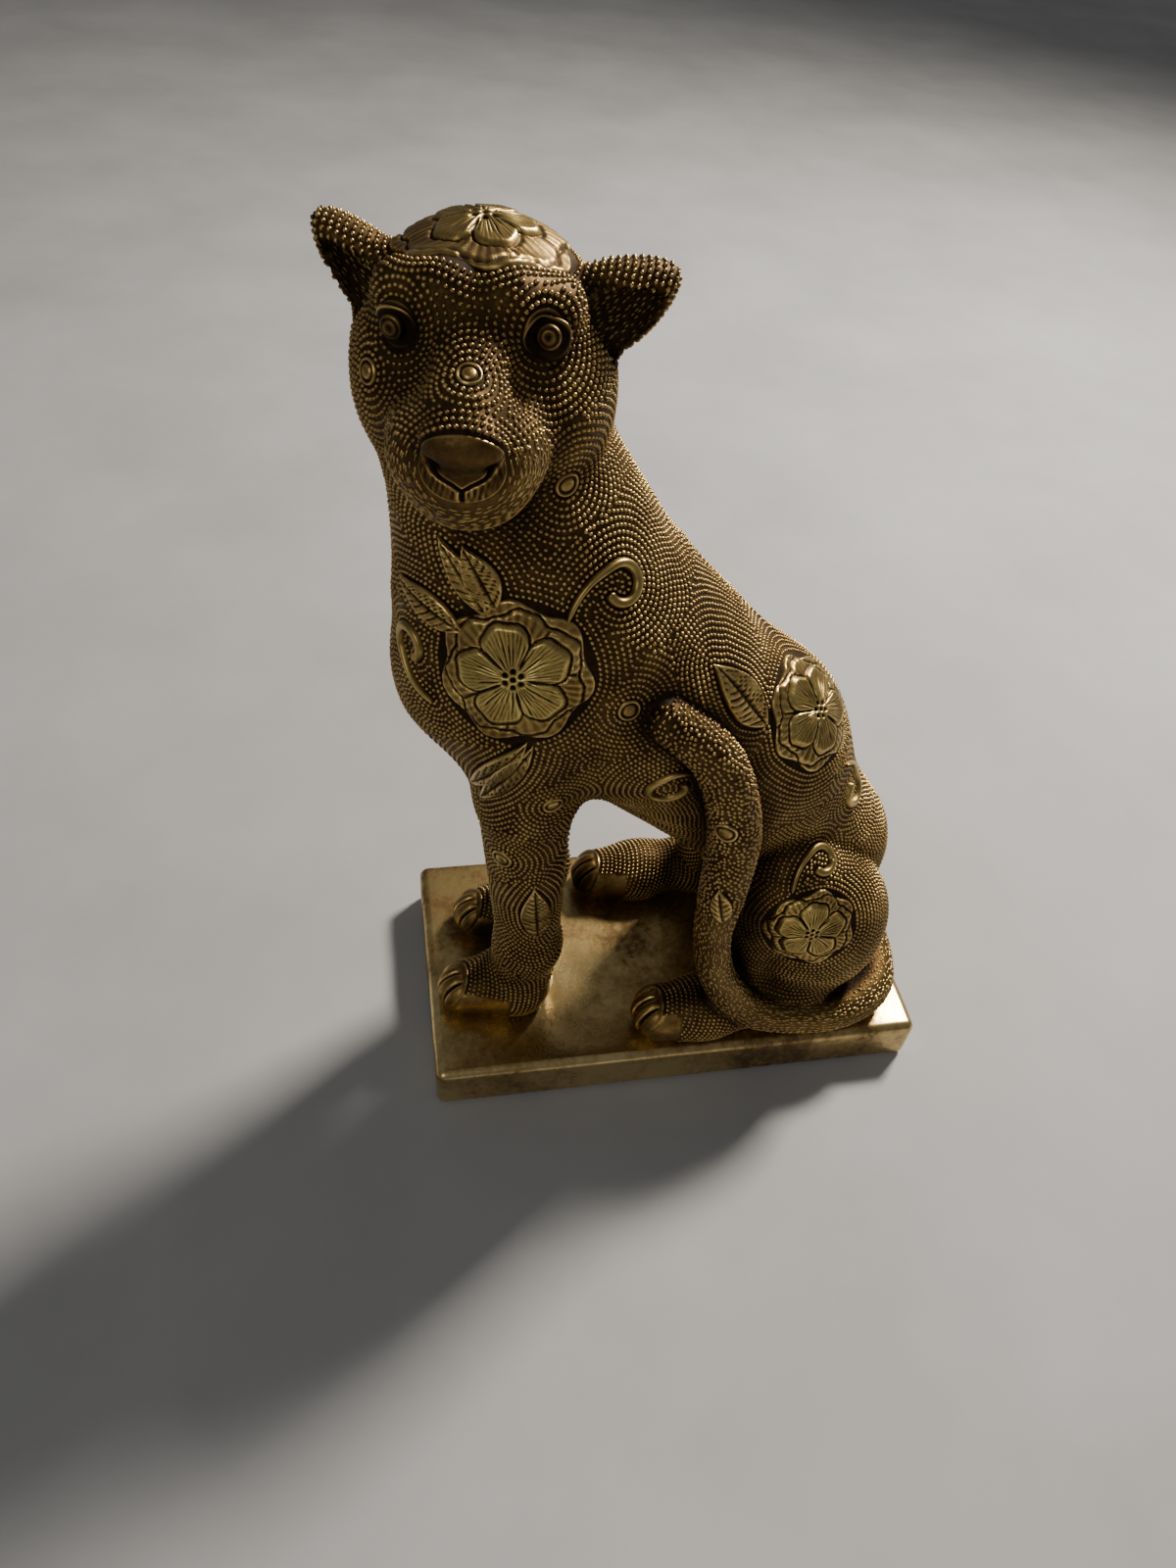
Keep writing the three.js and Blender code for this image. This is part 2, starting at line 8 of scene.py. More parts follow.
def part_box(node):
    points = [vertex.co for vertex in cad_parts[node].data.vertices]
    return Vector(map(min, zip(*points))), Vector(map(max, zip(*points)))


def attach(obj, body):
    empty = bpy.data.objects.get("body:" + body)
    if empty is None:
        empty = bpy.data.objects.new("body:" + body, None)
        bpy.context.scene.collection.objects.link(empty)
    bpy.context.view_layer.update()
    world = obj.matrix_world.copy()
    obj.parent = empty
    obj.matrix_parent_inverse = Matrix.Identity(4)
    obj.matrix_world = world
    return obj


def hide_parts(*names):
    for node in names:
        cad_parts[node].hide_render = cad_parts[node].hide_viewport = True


# Dresses the panther figurine: beaded skin, flowers, leaves, scrolls, rings, face, paws and plinth.
# Shapes are worked out in millimetres with z from the top of the plinth, as the figure's masses are.
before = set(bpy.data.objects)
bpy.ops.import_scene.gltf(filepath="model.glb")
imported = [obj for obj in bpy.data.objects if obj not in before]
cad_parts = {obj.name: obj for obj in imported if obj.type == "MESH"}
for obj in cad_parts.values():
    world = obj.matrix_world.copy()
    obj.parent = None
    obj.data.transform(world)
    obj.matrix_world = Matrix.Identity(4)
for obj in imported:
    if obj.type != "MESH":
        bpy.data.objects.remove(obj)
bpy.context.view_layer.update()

MM = 0.001
PLINTH_LOW, PLINTH_HIGH = (np.array(corner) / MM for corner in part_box("plinth"))
PLINTH_TOP = PLINTH_HIGH[2]

HEAD_AT = (0, -55.5, 183)
HEAD_YAW = -12
HEAD_ROLL = 1
EAR_POINT = 0.5
TAIL_STEPS = 40

SKIN_CELL = 1.1  # size of the skin's faces
RAISED = 1.2  # height of leaves and scrolls
SUNK = 0.3  # how far the rims of ornaments go under the skin
REACH = 1.7  # skin points nearer to an ornament than this take their distance from its outline
FIRST_ROW = 0.6  # from an ornament's outline to the first row of beads
ROW = 1.32  # between rows of beads
BEAD_STEP = 1.16  # between beads of a row
BEAD = (0.6, 0.51, 0.46)  # half length along the row, half width, height
LOOSE, LOOSE_ON_TAIL = 0.06, 0.38  # how far beads lie off their rows
FIRST_STROKES = 0.3  # from an ornament's outline to the first row of strokes
STROKE_ROW = 0.8
STROKE_STEP = 1.9
STROKE = (0.95, 0.26, 0.22)
LOOSE_STROKES = 0.45
CLOSEST = 0.86  # beads nearer to each other than this are left out
GAP = 1.0  # bare ground further than this from any bead gets one
ABOVE_PLINTH = 0.5  # beads and strokes start this far over the plinth
BEAD_GROUPS = 4  # pieces that the beads are shared between
TIGHT = 0.42  # beads stay out of corners more closed than this
MOST_ROWS = 400

# Relief of the skin, from 0 in dark patina and painted shade to 1 on a bright crest
ON_PAWS = 0.58
BETWEEN_BEADS = 0.3
UNDER_FUR = 0.42
IN_EARS = 0.12

rng = np.random.default_rng(7)


# Distance fields: each is a function of points, given as three rows, that is negative inside, and its box
def length(d):
    return np.sqrt(np.einsum("ij,ij->j", d, d))


def blend(a, b, k):
    if k == 0:
        return np.minimum(a, b)
    h = np.maximum(k - np.abs(a - b), 0)
    return np.minimum(a, b) - h * h / (4 * k)


def rod(a, b, ra, rb, slim=1.0):
    a = np.array(a, float)
    b = np.array(b, float)
    along = b - a
    thin = np.array((slim, 1, 1))[:, None]

    def at(p):
        d = (p - a[:, None]) * thin
        t = np.clip(along @ d / (along @ along), 0, 1)
        return length(d - along[:, None] * t) - ra - (rb - ra) * t

    reach = max(ra, rb)
    return at, np.minimum(a, b) - reach, np.maximum(a, b) + reach


def egg(centre, half, turn=np.eye(3), point=0.0):
    """An ellipsoid. With point it narrows towards the end of its first axis, as a leaf does."""
    centre = np.array(centre, float)
    half = np.array(half, float)

    def at(p):
        q = turn.T @ (p - centre[:, None]) / half[:, None]
        q[1] /= 1 - point * np.clip(q[0], -1, 1)
        near = length(q)
        slope = length(q / half[:, None])
        return np.where(slope < 1e-9, -half.min(), near * (near - 1) / np.maximum(slope, 1e-9))

    return at, centre - half.max(), centre + half.max()


def box_gap(p, low, high):
    """How far points are outside a box."""
    gap = np.maximum(low[0] - p[0], p[0] - high[0])
    for axis in (1, 2):
        gap = np.maximum(gap, np.maximum(low[axis] - p[axis], p[axis] - high[axis]))
    return gap


def merged(shapes, k):
    def at(p):
        d = np.full(p.shape[1], 1e3)
        for field, low, high in shapes:
            near = box_gap(p, low, high) < 6
            if near.any():
                d[near] = blend(d[near], field(p[:, near]), k)
        return d

    return at, np.min([s[1] for s in shapes], axis=0), np.max([s[2] for s in shapes], axis=0)


masses = []


def add(shape, k):
    masses.append((*shape, k, False))


def cut(shape, k):
    masses.append((*shape, k, True))


def trunk():
    add(rod((0, -47, 118), (0, -20, 107), 26, 26.5), 8)
    add(rod((0, -20, 107), (0, 8, 85), 26.5, 25, 1.08), 14)
    add(rod((0, 8, 85), (0, 34.5, 44), 25, 23.5, 1.2), 14)
    add(rod((0, 34, 44), (0, 34, 18), 23, 21, 1.2), 8)
    add(rod((0, -50, 112), (0, -44, 88), 22, 15), 10)
    add(rod((0, -38.5, 131), (0, -52, 167), 28, 19), 12)
    add(rod((0, -52, 138), (0, -57, 162), 21, 16.5), 8)


def foreleg(side, back):
    x = 14 * side
    y = -43 + back
    add(rod((x, -45, 108), (x, -46 + back / 2, 84), 14, 11), 8)
    add(rod((x, -46 + back / 2, 84), (x, y, 26), 11.2, 7.8), 3)
    add(rod((x, y, 26), (13 * side, y - 2, 9), 7.8, 8.5), 6)
    add(rod((13 * side, y - 3, 6.5), (13 * side, y - 17, 5), 9.5, 7.5), 6)


def belly():
    add(rod((0, -26, 92), (0, 8, 64), 15.5, 15), 2)


def hindleg(side, toe, x):
    dome = egg((18 * side, 37, 30), (17, 20, 26))
    knee = egg((17 * side, 25, 47), (14, 15, 20))
    add(merged([dome, knee], 9), 1.5)
    add(rod((20 * side, 20, 36), (22 * side, 16, 9), 8, 7.5), 4)
    add(rod((27 * side, 34, 8), (x * side, 12 + toe, 7), 8.4, 7.4), 6)
    add(rod((x * side, 12 + toe, 6.5), (x * side, toe, 5.5), 8.4, 8.2), 6)


# Points along the tail, from the rump to the tip, with its radius at each
TAIL_LINE = np.array([
    (0, 56, 16, 7), (14, 60, 9, 6.8), (26, 57, 7, 6.5), (32, 46, 6, 6),
    (32.5, 31, 6.5, 6), (32, 16.5, 11.5, 5.6), (31.5, 6.5, 26, 4.8), (31, 2, 44, 4.7),
    (30.5, 1.8, 62, 5.6), (30, 1, 84, 6.1), (30, -7, 107, 5.6), (28.5, -19, 118, 4.6),
], float)


def on_line(line, t):
    """A point on the centripetal curve through the points of line, at t from 0 to 1."""
    last = len(line) - 2
    i = min(int(t * (last + 1)), last)
    w = t * (last + 1) - i
    padded = np.vstack([2 * line[0] - line[1], line, 2 * line[-1] - line[-2]])
    a, b, c, d = padded[i : i + 4]
    ab, bc, cd = (math.sqrt(np.linalg.norm(q - p)) for p, q in ((a, b), (b, c), (c, d)))
    start = ((b - a) / ab - (c - a) / (ab + bc) + (c - b) / bc) * bc
    end = ((c - b) / bc - (d - b) / (bc + cd) + (d - c) / cd) * bc
    return b + start * w + (3 * (c - b) - 2 * start - end) * w**2 + (2 * (b - c) + start + end) * w**3


def tail():
    places = [on_line(TAIL_LINE[:, :3], i / TAIL_STEPS) for i in range(TAIL_STEPS + 1)]
    marks = np.linspace(0, 1, len(TAIL_LINE))
    radii = np.interp(np.linspace(0, 1, TAIL_STEPS + 1), marks, TAIL_LINE[:, 3])
    rods = [rod(places[i], places[i + 1], radii[i], radii[i + 1]) for i in range(TAIL_STEPS)]
    shape = merged(rods, 0)
    add(shape, 1)
    return shape[0]


# Head coordinates: forward to the nose, left and up.
def head_axes():
    yaw = math.radians(HEAD_YAW)
    roll = math.radians(HEAD_ROLL)
    forward = np.array((math.cos(yaw), math.sin(yaw), 0))
    left = np.array((-forward[1] * math.cos(roll), forward[0] * math.cos(roll), -math.sin(roll)))
    return np.column_stack([forward, left, np.cross(forward, left)])


HEAD_TURN = head_axes()


def on_head(f, l, u):
    return HEAD_TURN @ (f, l, u) + HEAD_AT


def unit(v):
    return v / np.linalg.norm(v)


ear_hollows = []


def ear(root, tip, half):
    root = np.array(root, float)
    tip = np.array(tip, float)
    along = unit(tip - root)
    front = np.array((0.85, 0, -0.5))
    front = unit(front - front @ along * along)
    turn = HEAD_TURN @ np.column_stack([along, np.cross(front, along), front])
    middle = root + 0.45 * (tip - root)
    add(egg(on_head(*middle), (10.5, half, 5), turn, EAR_POINT), 3)
    inside = egg(on_head(*(middle - along + 4.5 * front)), (8, half - 2, 4.5), turn, EAR_POINT)
    ear_hollows.append(inside[0])
    cut(inside, 1)


def head():
    add(egg(on_head(-2, 0, 0.5), (24, 23, 20.4), HEAD_TURN), 10)
    add(egg(on_head(24, 0.2, -5.5), (14, 13.5, 11), HEAD_TURN), 5)
    add(rod(on_head(10, 0.5, 10), on_head(30, 0.5, 2.5), 8, 6), 4)
    add(egg(on_head(25, 0.5, -12), (9, 9, 6), HEAD_TURN), 4)
    for side in (1, -1):
        add(egg(on_head(6, 10.5 * side + 0.8, -5), (12, 11, 11.5), HEAD_TURN), 6)
        add(rod(on_head(13.5, 6 * side, 15), on_head(10.5, 13 * side, 14), 5, 4), 5)
        cut(egg(on_head(24, 12.5 * side, 8.5), (7, 6, 6.5), HEAD_TURN), 2.5)
        add(egg(on_head(15.5, 12 * side, 10.5), (3, 3.6, 3.6), HEAD_TURN), 0.8)
    ear((-3, -16, 6.5), (-4.5, -28.5, 18), 6.3)
    ear((-2, 16.5, 6.5), (-3, 32.5, 16.5), 8.5)
    add(egg(on_head(35.5, 0.8, 1.2), (4, 6.5, 4.2), HEAD_TURN), 2)


trunk()
foreleg(1, 0)
foreleg(-1, 6.5)
belly()
hindleg(1, -6, 28)
hindleg(-1, -15, 24)
tail_field = tail()
head()


def skin(p):
    """Distance of points from the figure's plain skin."""
    p = np.ascontiguousarray(p.T)
    d = np.full(p.shape[1], 1e3)
    for at, low, high, k, is_cut in masses:
        gap = box_gap(p, low, high)
        near = (gap <= k + 2) | ((not is_cut) & (gap <= d + k))
        if near.any():
            found = at(p[:, near])
            d[near] = -blend(-d[near], found, k) if is_cut else blend(d[near], found, k)
    return d


def standing(p):
    """The skin, closed a little below the top of the plinth."""
    return np.maximum(skin(p), -p[:, 2] - 0.4)


def probe(p, field=skin, e=0.05):
    """A field's value and slope at points."""
    value = field(p)
    return value, np.stack([field(p + step) - value for step in np.eye(3) * e], axis=1) / e


def units(v):
    return v / np.maximum(np.linalg.norm(v, axis=1), 1e-9)[:, None]


def settle(p, steps, field=skin):
    """Moves points onto the skin, and gives its normals there."""
    for _ in range(steps):
        value, g = probe(p, field)
        move = -value / np.maximum((g * g).sum(axis=1), 0.25)
        p = p + g * np.clip(move, -1.5, 1.5)[:, None]
    return p, units(g)


def hollow(p, normals, reach):
    """How much the surface closes in over points within reach: 0 in the open, 1 in a tight corner."""
    return np.clip(1 - skin(p + reach * normals) / reach, 0, 1)


def patina_and_painted_shade(p, normals):
    """Share of the shine left at points: darker with patina in tight corners, and painted shade between the
    limbs and under overhangs.
    """
    return np.clip(1 - 1.1 * hollow(p, normals, 2.5) - 0.55 * hollow(p, normals, 10), 0, 1)


# Ornaments: flat drawings that are laid on the skin
def ramp(inside, run=0.9):
    t = np.clip(inside / run, 0, 1)
    return t * t * (3 - 2 * t)


def bump(distance, width):
    return np.exp(-((distance / width) ** 2))


def tree_of(spots):
    tree = kdtree.KDTree(len(spots))
    for i, spot in enumerate(spots):
        tree.insert(spot, i)
    tree.balance()
    return tree


class Drawing:
    """A flat drawing laid on the skin. Its u axis runs from at towards the point ahead."""

    def __init__(self, at, ahead, edge):
        origin, normal = settle(np.array([at], float), 8)
        self.origin = origin[0]
        self.normal = normal[0]
        ahead = np.array(ahead, float) - self.origin
        self.u = unit(ahead - ahead @ self.normal * self.normal)
        self.v = np.cross(self.normal, self.u)
        self.edge = edge
        drawings.append(self)

    def place(self, a, b, steps=8):
        """Points of the skin, and its normals there, reached by going straight out over it to (a, b)."""
        far = np.hypot(a, b)
        way = (a[:, None] * self.u + b[:, None] * self.v) / np.maximum(far, 1e-9)[:, None]
        p = np.repeat(self.origin[None], len(a), axis=0)
        for _ in range(steps):
            p, n = settle(p + way * (far / steps)[:, None], 1)
            way = units(way - (way * n).sum(axis=1)[:, None] * n)
        p, n = settle(p, 1)
        self.spots = p
        self.normals = n
        self.outsides = self.edge(a, b)
        return p, n

    def outside(self, p, normals):
        """How far points of the skin lie outside the drawing's outline, judged by the nearest point drawn."""
        reach = np.linalg.norm(self.spots - self.origin, axis=1).max() + 2
        found = np.full(len(p), np.inf)
        tree = tree_of(self.spots)
        for i in np.flatnonzero(np.linalg.norm(p - self.origin, axis=1) < reach):
            _, j, away = tree.find(p[i])
            if away < 2.5 and self.normals[j] @ normals[i] > 0.1:
                found[i] = self.outsides[j] + (away if self.outsides[j] > -0.2 else 0)
        return found


drawings = []
parts = {}


def to_part(name, points, faces, relief_and_shade, rubbed):
    """Adds a patch of mesh to the named piece."""
    parts.setdefault(name, []).append((points, faces, relief_and_shade, rubbed))


def grid_faces(rows, columns, closed=False):
    i, j = np.meshgrid(np.arange(rows - 1), np.arange(columns if closed else columns - 1), indexing="ij")
    i = i.ravel()
    j = j.ravel()
    k = (j + 1) % columns
    return np.stack([i * columns + j, (i + 1) * columns + j, (i + 1) * columns + k, i * columns + k], axis=1)


def even(value):
    """The same value at every point of a drawing."""
    return lambda a, b: value


def disc(radius):
    """The outline of a round drawing."""
    return lambda angle: np.full(len(angle), float(radius))


def lay(name, drawing, a, b, height, faces, rubbed, tone=even(0)):
    """Lays the points (a, b) of a drawing on the skin at its heights. Hollows come out darker than crests."""
    level = height(a, b)
    around = np.arange(8) * math.pi / 4
    near = sum(height(a + 0.45 * math.cos(t), b + 0.45 * math.sin(t)) for t in around) / 8
    points, normals = drawing.place(a, b)
    # painted shade: the relief is darkened between the limbs and under overhangs, with patina in tight
    # corners
    relief_and_shade = np.clip(0.6 + 3.2 * (level - near) + tone(a, b), 0, 1) * patina_and_painted_shade(points, normals)
    to_part(name, points + normals * level[:, None], faces, relief_and_shade, rubbed(a, b) * ramp(level, 0.5))


def polar(name, drawing, outline, height, rings, spokes, rubbed, tone=even(0)):
    angle = np.arange(spokes) * 2 * math.pi / spokes
    share = np.linspace(0.01, 1, rings)
    r = share[:, None] * outline(angle)[None]
    a = (r * np.cos(angle)).ravel()
    b = (r * np.sin(angle)).ravel()
    lay(name, drawing, a, b, height, grid_faces(rings, spokes, closed=True), rubbed, tone)


def off_rays(angle, count, first):
    """Angle to the nearest of evenly spaced rays."""
    step = 2 * math.pi / count
    return np.abs(np.mod(angle - first + step / 2, step) - step / 2)


def flower(name, at, ahead, radius, turn=0.0, rubbed=1.0, small=1.0):
    """Five veined petals over two lobed outer rows, with seven holes in the middle."""

    def rim(angle):
        return radius * (0.94 + 0.06 * np.cos(7 * (angle - turn) + 1))

    def edge(a, b):
        return np.hypot(a, b) - rim(np.arctan2(b, a))

    def layout(a, b):
        """Distance from the middle, angle, and how far inside the petals, the inner row and the rim."""
        r = np.hypot(a, b)
        angle = np.arctan2(b, a) - turn
        lobe = np.sqrt(np.abs(np.cos(2.5 * angle)))
        petal = small * radius * (0.42 + 0.28 * lobe + 0.015 * np.sin(13 * angle)) - r
        row = radius * (0.81 + 0.05 * np.cos(7 * angle + 2.4) + 0.012 * np.sin(19 * angle)) - r
        return r, angle, petal, row, rim(angle + turn) - r

    def seams(a, b):
        """The cut lines round and between the petals and the lobes of the rows."""
        r, angle, petal, row, out = layout(a, b)
        cuts = bump(petal + 0.4, 0.3) + 0.8 * bump(row + 0.35, 0.27)
        between = bump(r * off_rays(angle, 5, math.pi / 5), 0.3)
        cuts += between * ramp(r / radius - 0.14, 0.1) * ramp(petal, 0.6)
        cuts += 0.7 * bump(r * off_rays(angle, 7, 0.106), 0.28) * ramp(-petal - 0.5, 0.5) * ramp(row, 0.5)
        cuts += 0.7 * bump(r * off_rays(angle, 7, 0.306), 0.28) * ramp(-row, 0.5) * ramp(out, 0.6)
        return np.minimum(cuts, 1)

    def holes(a, b):
        depth = 0
        for hole in range(7):
            turned = hole * math.pi / 3
            away = 0.105 * radius * (hole < 6)
            depth += bump(np.hypot(a - away * math.cos(turned), b - away * math.sin(turned)), 0.034 * radius)
        return depth

    def height(a, b):
        r, angle, petal, row, out = layout(a, b)
        share = r / radius / small
        level = 1.05 * ramp(out + 0.2) - SUNK + 0.3 * ramp(row, 0.7) + 0.7 * ramp(petal, 1.1)
        folds = 0.5 + 0.5 * np.cos(44 * angle + 3 * np.sin(3 * angle) + 2 * share)
        level -= 0.17 * folds * ramp(out, 0.8) * ramp(-petal, 1.2)
        dish = np.abs(np.cos(2.5 * angle))
        level -= 0.35 * bump(share - 0.46, 0.17) * dish * ramp(petal, 1)
        vein = np.maximum(0, np.cos(34 * angle + 2.6 * np.sin(5 * angle + 1) + 3 * share)) ** 3
        spread_out = 0.44 + 0.12 * np.sin(11 * angle + 2) + 0.06 * np.sin(23 * angle)
        level -= 0.42 * vein * ramp(spread_out - share, 0.14) * ramp(share - 0.13, 0.08)
        hairline = np.maximum(0, np.cos(71 * angle + 4 * share))
        level -= 0.1 * hairline * ramp(petal, 1.5) * ramp(share - 0.2, 0.1)
        level += 0.25 * ramp(0.16 * radius - r, 1.2) - 0.55 * seams(a, b) - 1.1 * holes(a, b)
        return np.maximum(level, -SUNK)

    def tone(a, b):
        return -0.4 * seams(a, b) - 0.4 * holes(a, b)

    def petals(a, b):
        return rubbed * (0.3 + 0.7 * ramp(layout(a, b)[2] + 0.03 * radius, 1.5))

    drawing = Drawing(at, ahead, edge)
    polar(name, drawing, rim, height, 56, 190, petals, tone)


def leaf(base, tip, width, rubbed=0.3):
    """A pointed leaf with a midrib and side veins."""
    base = np.array(base, float)
    tip = np.array(tip, float)
    half = np.linalg.norm(tip - base) / 2

    def side(a):
        along = np.clip((half - a) / (2 * half), 0, 1)
        return width / 2 * np.sin(math.pi * along**1.2) ** 0.8

    def edge(a, b):
        return np.maximum(np.abs(a) - half, np.abs(b) - side(a))

    def height(a, b):
        inside = side(a) - np.abs(b)
        level = (RAISED + SUNK) * ramp(inside + 0.15, 0.7) - SUNK
        level -= 0.55 * bump(b, 0.32) * ramp(inside, 0.8)
        vein = np.maximum(0, np.cos(2 * math.pi * (a - 0.9 * np.abs(b)) / 1.9)) ** 3
        return level - 0.34 * vein * ramp(inside - 0.35, 0.5)

    drawing = Drawing((base + tip) / 2, tip, edge)
    along = np.linspace(-half, half, 40)
    across = np.sin(np.linspace(-math.pi / 2, math.pi / 2, 17))
    a = np.repeat(along, len(across))
    b = (side(along)[:, None] * across[None] + 1e-3 * across[None]).ravel()
    lay("leaves", drawing, a, b, height, grid_faces(len(along), len(across)), even(rubbed))


def smoothed(line, times):
    """Cuts the corners of a line of points."""
    for _ in range(times):
        before = line[:-1]
        after = line[1:]
        middle = np.stack([0.75 * before + 0.25 * after, 0.25 * before + 0.75 * after], axis=1)
        line = np.vstack([line[:1], middle.reshape(-1, 2), line[-1:]])
    return line


def from_line(line, a, b):
    p = np.stack([a, b], axis=1)
    near = np.full(len(a), np.inf)
    for start, end in zip(line, line[1:]):
        d = end - start
        t = np.clip((p - start) @ d / (d @ d), 0, 1)
        near = np.minimum(near, np.linalg.norm(p - start - t[:, None] * d, axis=1))
    return near


def strip(name, drawing, line, width, height, rubbed, columns=9):
    """A band of the given half widths along a line of a drawing."""
    way = np.gradient(line, axis=0)
    way /= np.linalg.norm(way, axis=1)[:, None]
    across = np.linspace(-1, 1, columns)
    a = (line[:, :1] - way[:, 1:] * width[:, None] * across).ravel()
    b = (line[:, 1:] + way[:, :1] * width[:, None] * across).ravel()
    points, normals = drawing.place(a, b)
    drawing.outsides = ((np.abs(across)[None] - 1) * width[:, None]).ravel()
    level = np.tile(height(across), len(line))
    # painted shade: the scroll's relief is darkened between the limbs and under overhangs, with patina in
    # tight corners
    relief_and_shade = np.tile(0.3 + 0.45 * ramp(1 - np.abs(across), 0.4), len(line)) * patina_and_painted_shade(points, normals)
    faces = grid_faces(len(line), columns)
    to_part(name, points + normals * level[:, None], faces, relief_and_shade, np.full(len(a), rubbed))


def scroll(at, start, radius, side, width=2.4):
    """A stem that ends in a hook round at; side says which way it bends."""
    at = np.array(at, float)
    start = np.array(start, float)
    stem = np.linalg.norm(at - start)
    line = [(-stem, 0), (-stem * 0.72, side * radius * 0.62), (-stem * 0.4, side * radius * 0.98)]
    for i in range(13):
        a = side * math.radians(100 - i * 24)
        r = radius * (1 - 0.03 * i)
        line.append((math.cos(a) * r, math.sin(a) * r))
    line = smoothed(np.array(line), 2)
    drawing = Drawing(at, 2 * at - start, lambda a, b: from_line(line, a, b) - width / 2)
    ends = np.linspace(0, 1, len(line))
    rounded = np.sqrt(ramp(ends, 0.05) * ramp(1 - ends, 0.06) + 0.01)
    half = width / 2 * (0.55 + 0.45 * ramp(ends, 0.4)) * rounded
    strip("scrolls", drawing, line, half, lambda x: (RAISED + SUNK) * (1 - x**4) - SUNK, 0.65)


def ring(at, radius):
    """A raised disc with a groove inside its rim and a point in the middle."""

    def height(a, b):
        r = np.hypot(a, b) / radius
        level = (0.6 + SUNK) * ramp(1 - r, 0.2) - SUNK
        return level - 0.45 * bump(r - 0.6, 0.14) + 0.12 * bump(r, 0.25)

    at = np.array(at, float)
    drawing = Drawing(at, at + (0.3, 0.2, 5), lambda a, b: np.hypot(a, b) - radius)
    polar("rings", drawing, disc(radius), height, 13, 40, even(0.1))


SINK_FROM = 0.7  # the skin is lowered inside face and paw drawings, from this far inside their outline
lowered = []


def carved(name, at, ahead, outline, height, rings, spokes, tone):
    """A patch that replaces the skin there, so that its heights may go below it."""

    def edge(a, b):
        return np.hypot(a, b) - outline(np.arctan2(b, a))

    def level(a, b):
        inside = -edge(a, b)
        return height(a, b) * ramp(inside, 1.4) + 0.12 * ramp(inside, 0.7) - 0.45 * (1 - ramp(inside, 0.5))

    drawing = Drawing(at, ahead, edge)
    lowered.append(drawing)
    polar(name, drawing, outline, level, rings, spokes, even(0), tone)


def eye(at):
    """A small ringed eye in a dark socket, under a thin arched lid."""

    def above(a):
        return 0.5 + 0.5 * np.tanh((a - 0.3) / 0.8)

    def oval(a, b):
        return np.hypot(a + 0.6, 0.82 * b)

    def height(a, b):
        r = np.hypot(a, b)
        iris = 0.13 * bump(r - 1.85, 0.28) + 0.11 * bump(r - 0.95, 0.25) - 0.24 * bump(r, 0.35)
        lid = 0.6 * bump(oval(a, b) - 3.9, 0.33) * above(a)
        return iris - 0.75 * bump(r - 3.0, 0.8) + lid

    def tone(a, b):
        r = np.hypot(a, b)
        socket = ramp(r - 2.0, 0.5) * ramp(3.8 - oval(a, b), 0.5)
        brow = ramp(oval(a, b) - 3.4, 0.4) * above(a)
        return -0.44 - 0.2 * socket + 0.14 * bump(r - 0.5, 0.9) + 0.16 * brow

    at = np.array(at, float)
    carved("eyes", at, at + (0, 0, 5), disc(5), height, 34, 72, tone)


def strands(a, b):
    """Fine strands that run down a drawing: a random height between about -1 and 1."""
    draw = np.random.default_rng(5)
    waves = 12
    across = draw.uniform(4.2, 8, waves)
    along = draw.uniform(-2, 2, waves)
    start = draw.uniform(0, 2 * math.pi, waves)
    return sum(np.cos(k * b + m * a + t) for k, m, t in zip(across, along, start)) / math.sqrt(waves / 2)


def nose(at):
    """The nose pad over two nostrils that meet in a short line down its middle, with fur below."""
    half = np.array([(1.6, 7), (0.2, 6), (-1.1, 3.9), (-2.2, 1.4), (-3.1, 0.1), (-5.2, 0.1)])

    def outline(angle):
        return 7.4 + np.cos(angle) - 0.6 * np.cos(2 * angle)

    def opening(a, b):
        return bump(np.hypot(a - 0.3, 0.8 * (np.abs(b) - 4.9)), 1.0)

    def below(a, b):
        return ramp(0.55 * np.abs(b) - a - 3.0, 1)

    def height(a, b):
        line = from_line(half, a, np.abs(b))
        wing = 0.25 * bump(np.hypot(a - 1.4, 0.6 * (np.abs(b) - 6)), 1.3)
        return -0.7 * ramp(0.5 - line, 0.5) - 1.2 * opening(a, b) + wing + 0.04 * strands(a, b) * below(a, b)

    def tone(a, b):
        line = from_line(half, a, np.abs(b))
        cut = np.maximum(ramp(0.5 - line, 0.4), np.minimum(1, 1.4 * opening(a, b)))
        return -0.2 + 0.02 * below(a, b) - 0.45 * cut

    at = np.array(at, float)
    carved("nose", at, at + (0, 0, 9), outline, height, 42, 124, tone)


def paw(x, y):
    """Four toes, parted by deep lines, with a crease behind them."""

    def height(a, b):
        bent = b * (1 + 0.02 * (a + 4))
        line = np.minimum(np.abs(bent), np.abs(np.abs(bent) - 4.3))
        toe = ramp(7.2 - np.abs(a + 0.5), 2.5)
        return -1.1 * ramp(0.85 - line, 0.85) * toe + 0.3 * ramp(line, 2.1) * toe - 0.2 * bump(a - 6.8, 0.7)

    at = np.array((x, y, 9), float)
    carved("paws", at, at + (0, 10, 5), disc(8.6), height, 30, 84, even(-0.1))


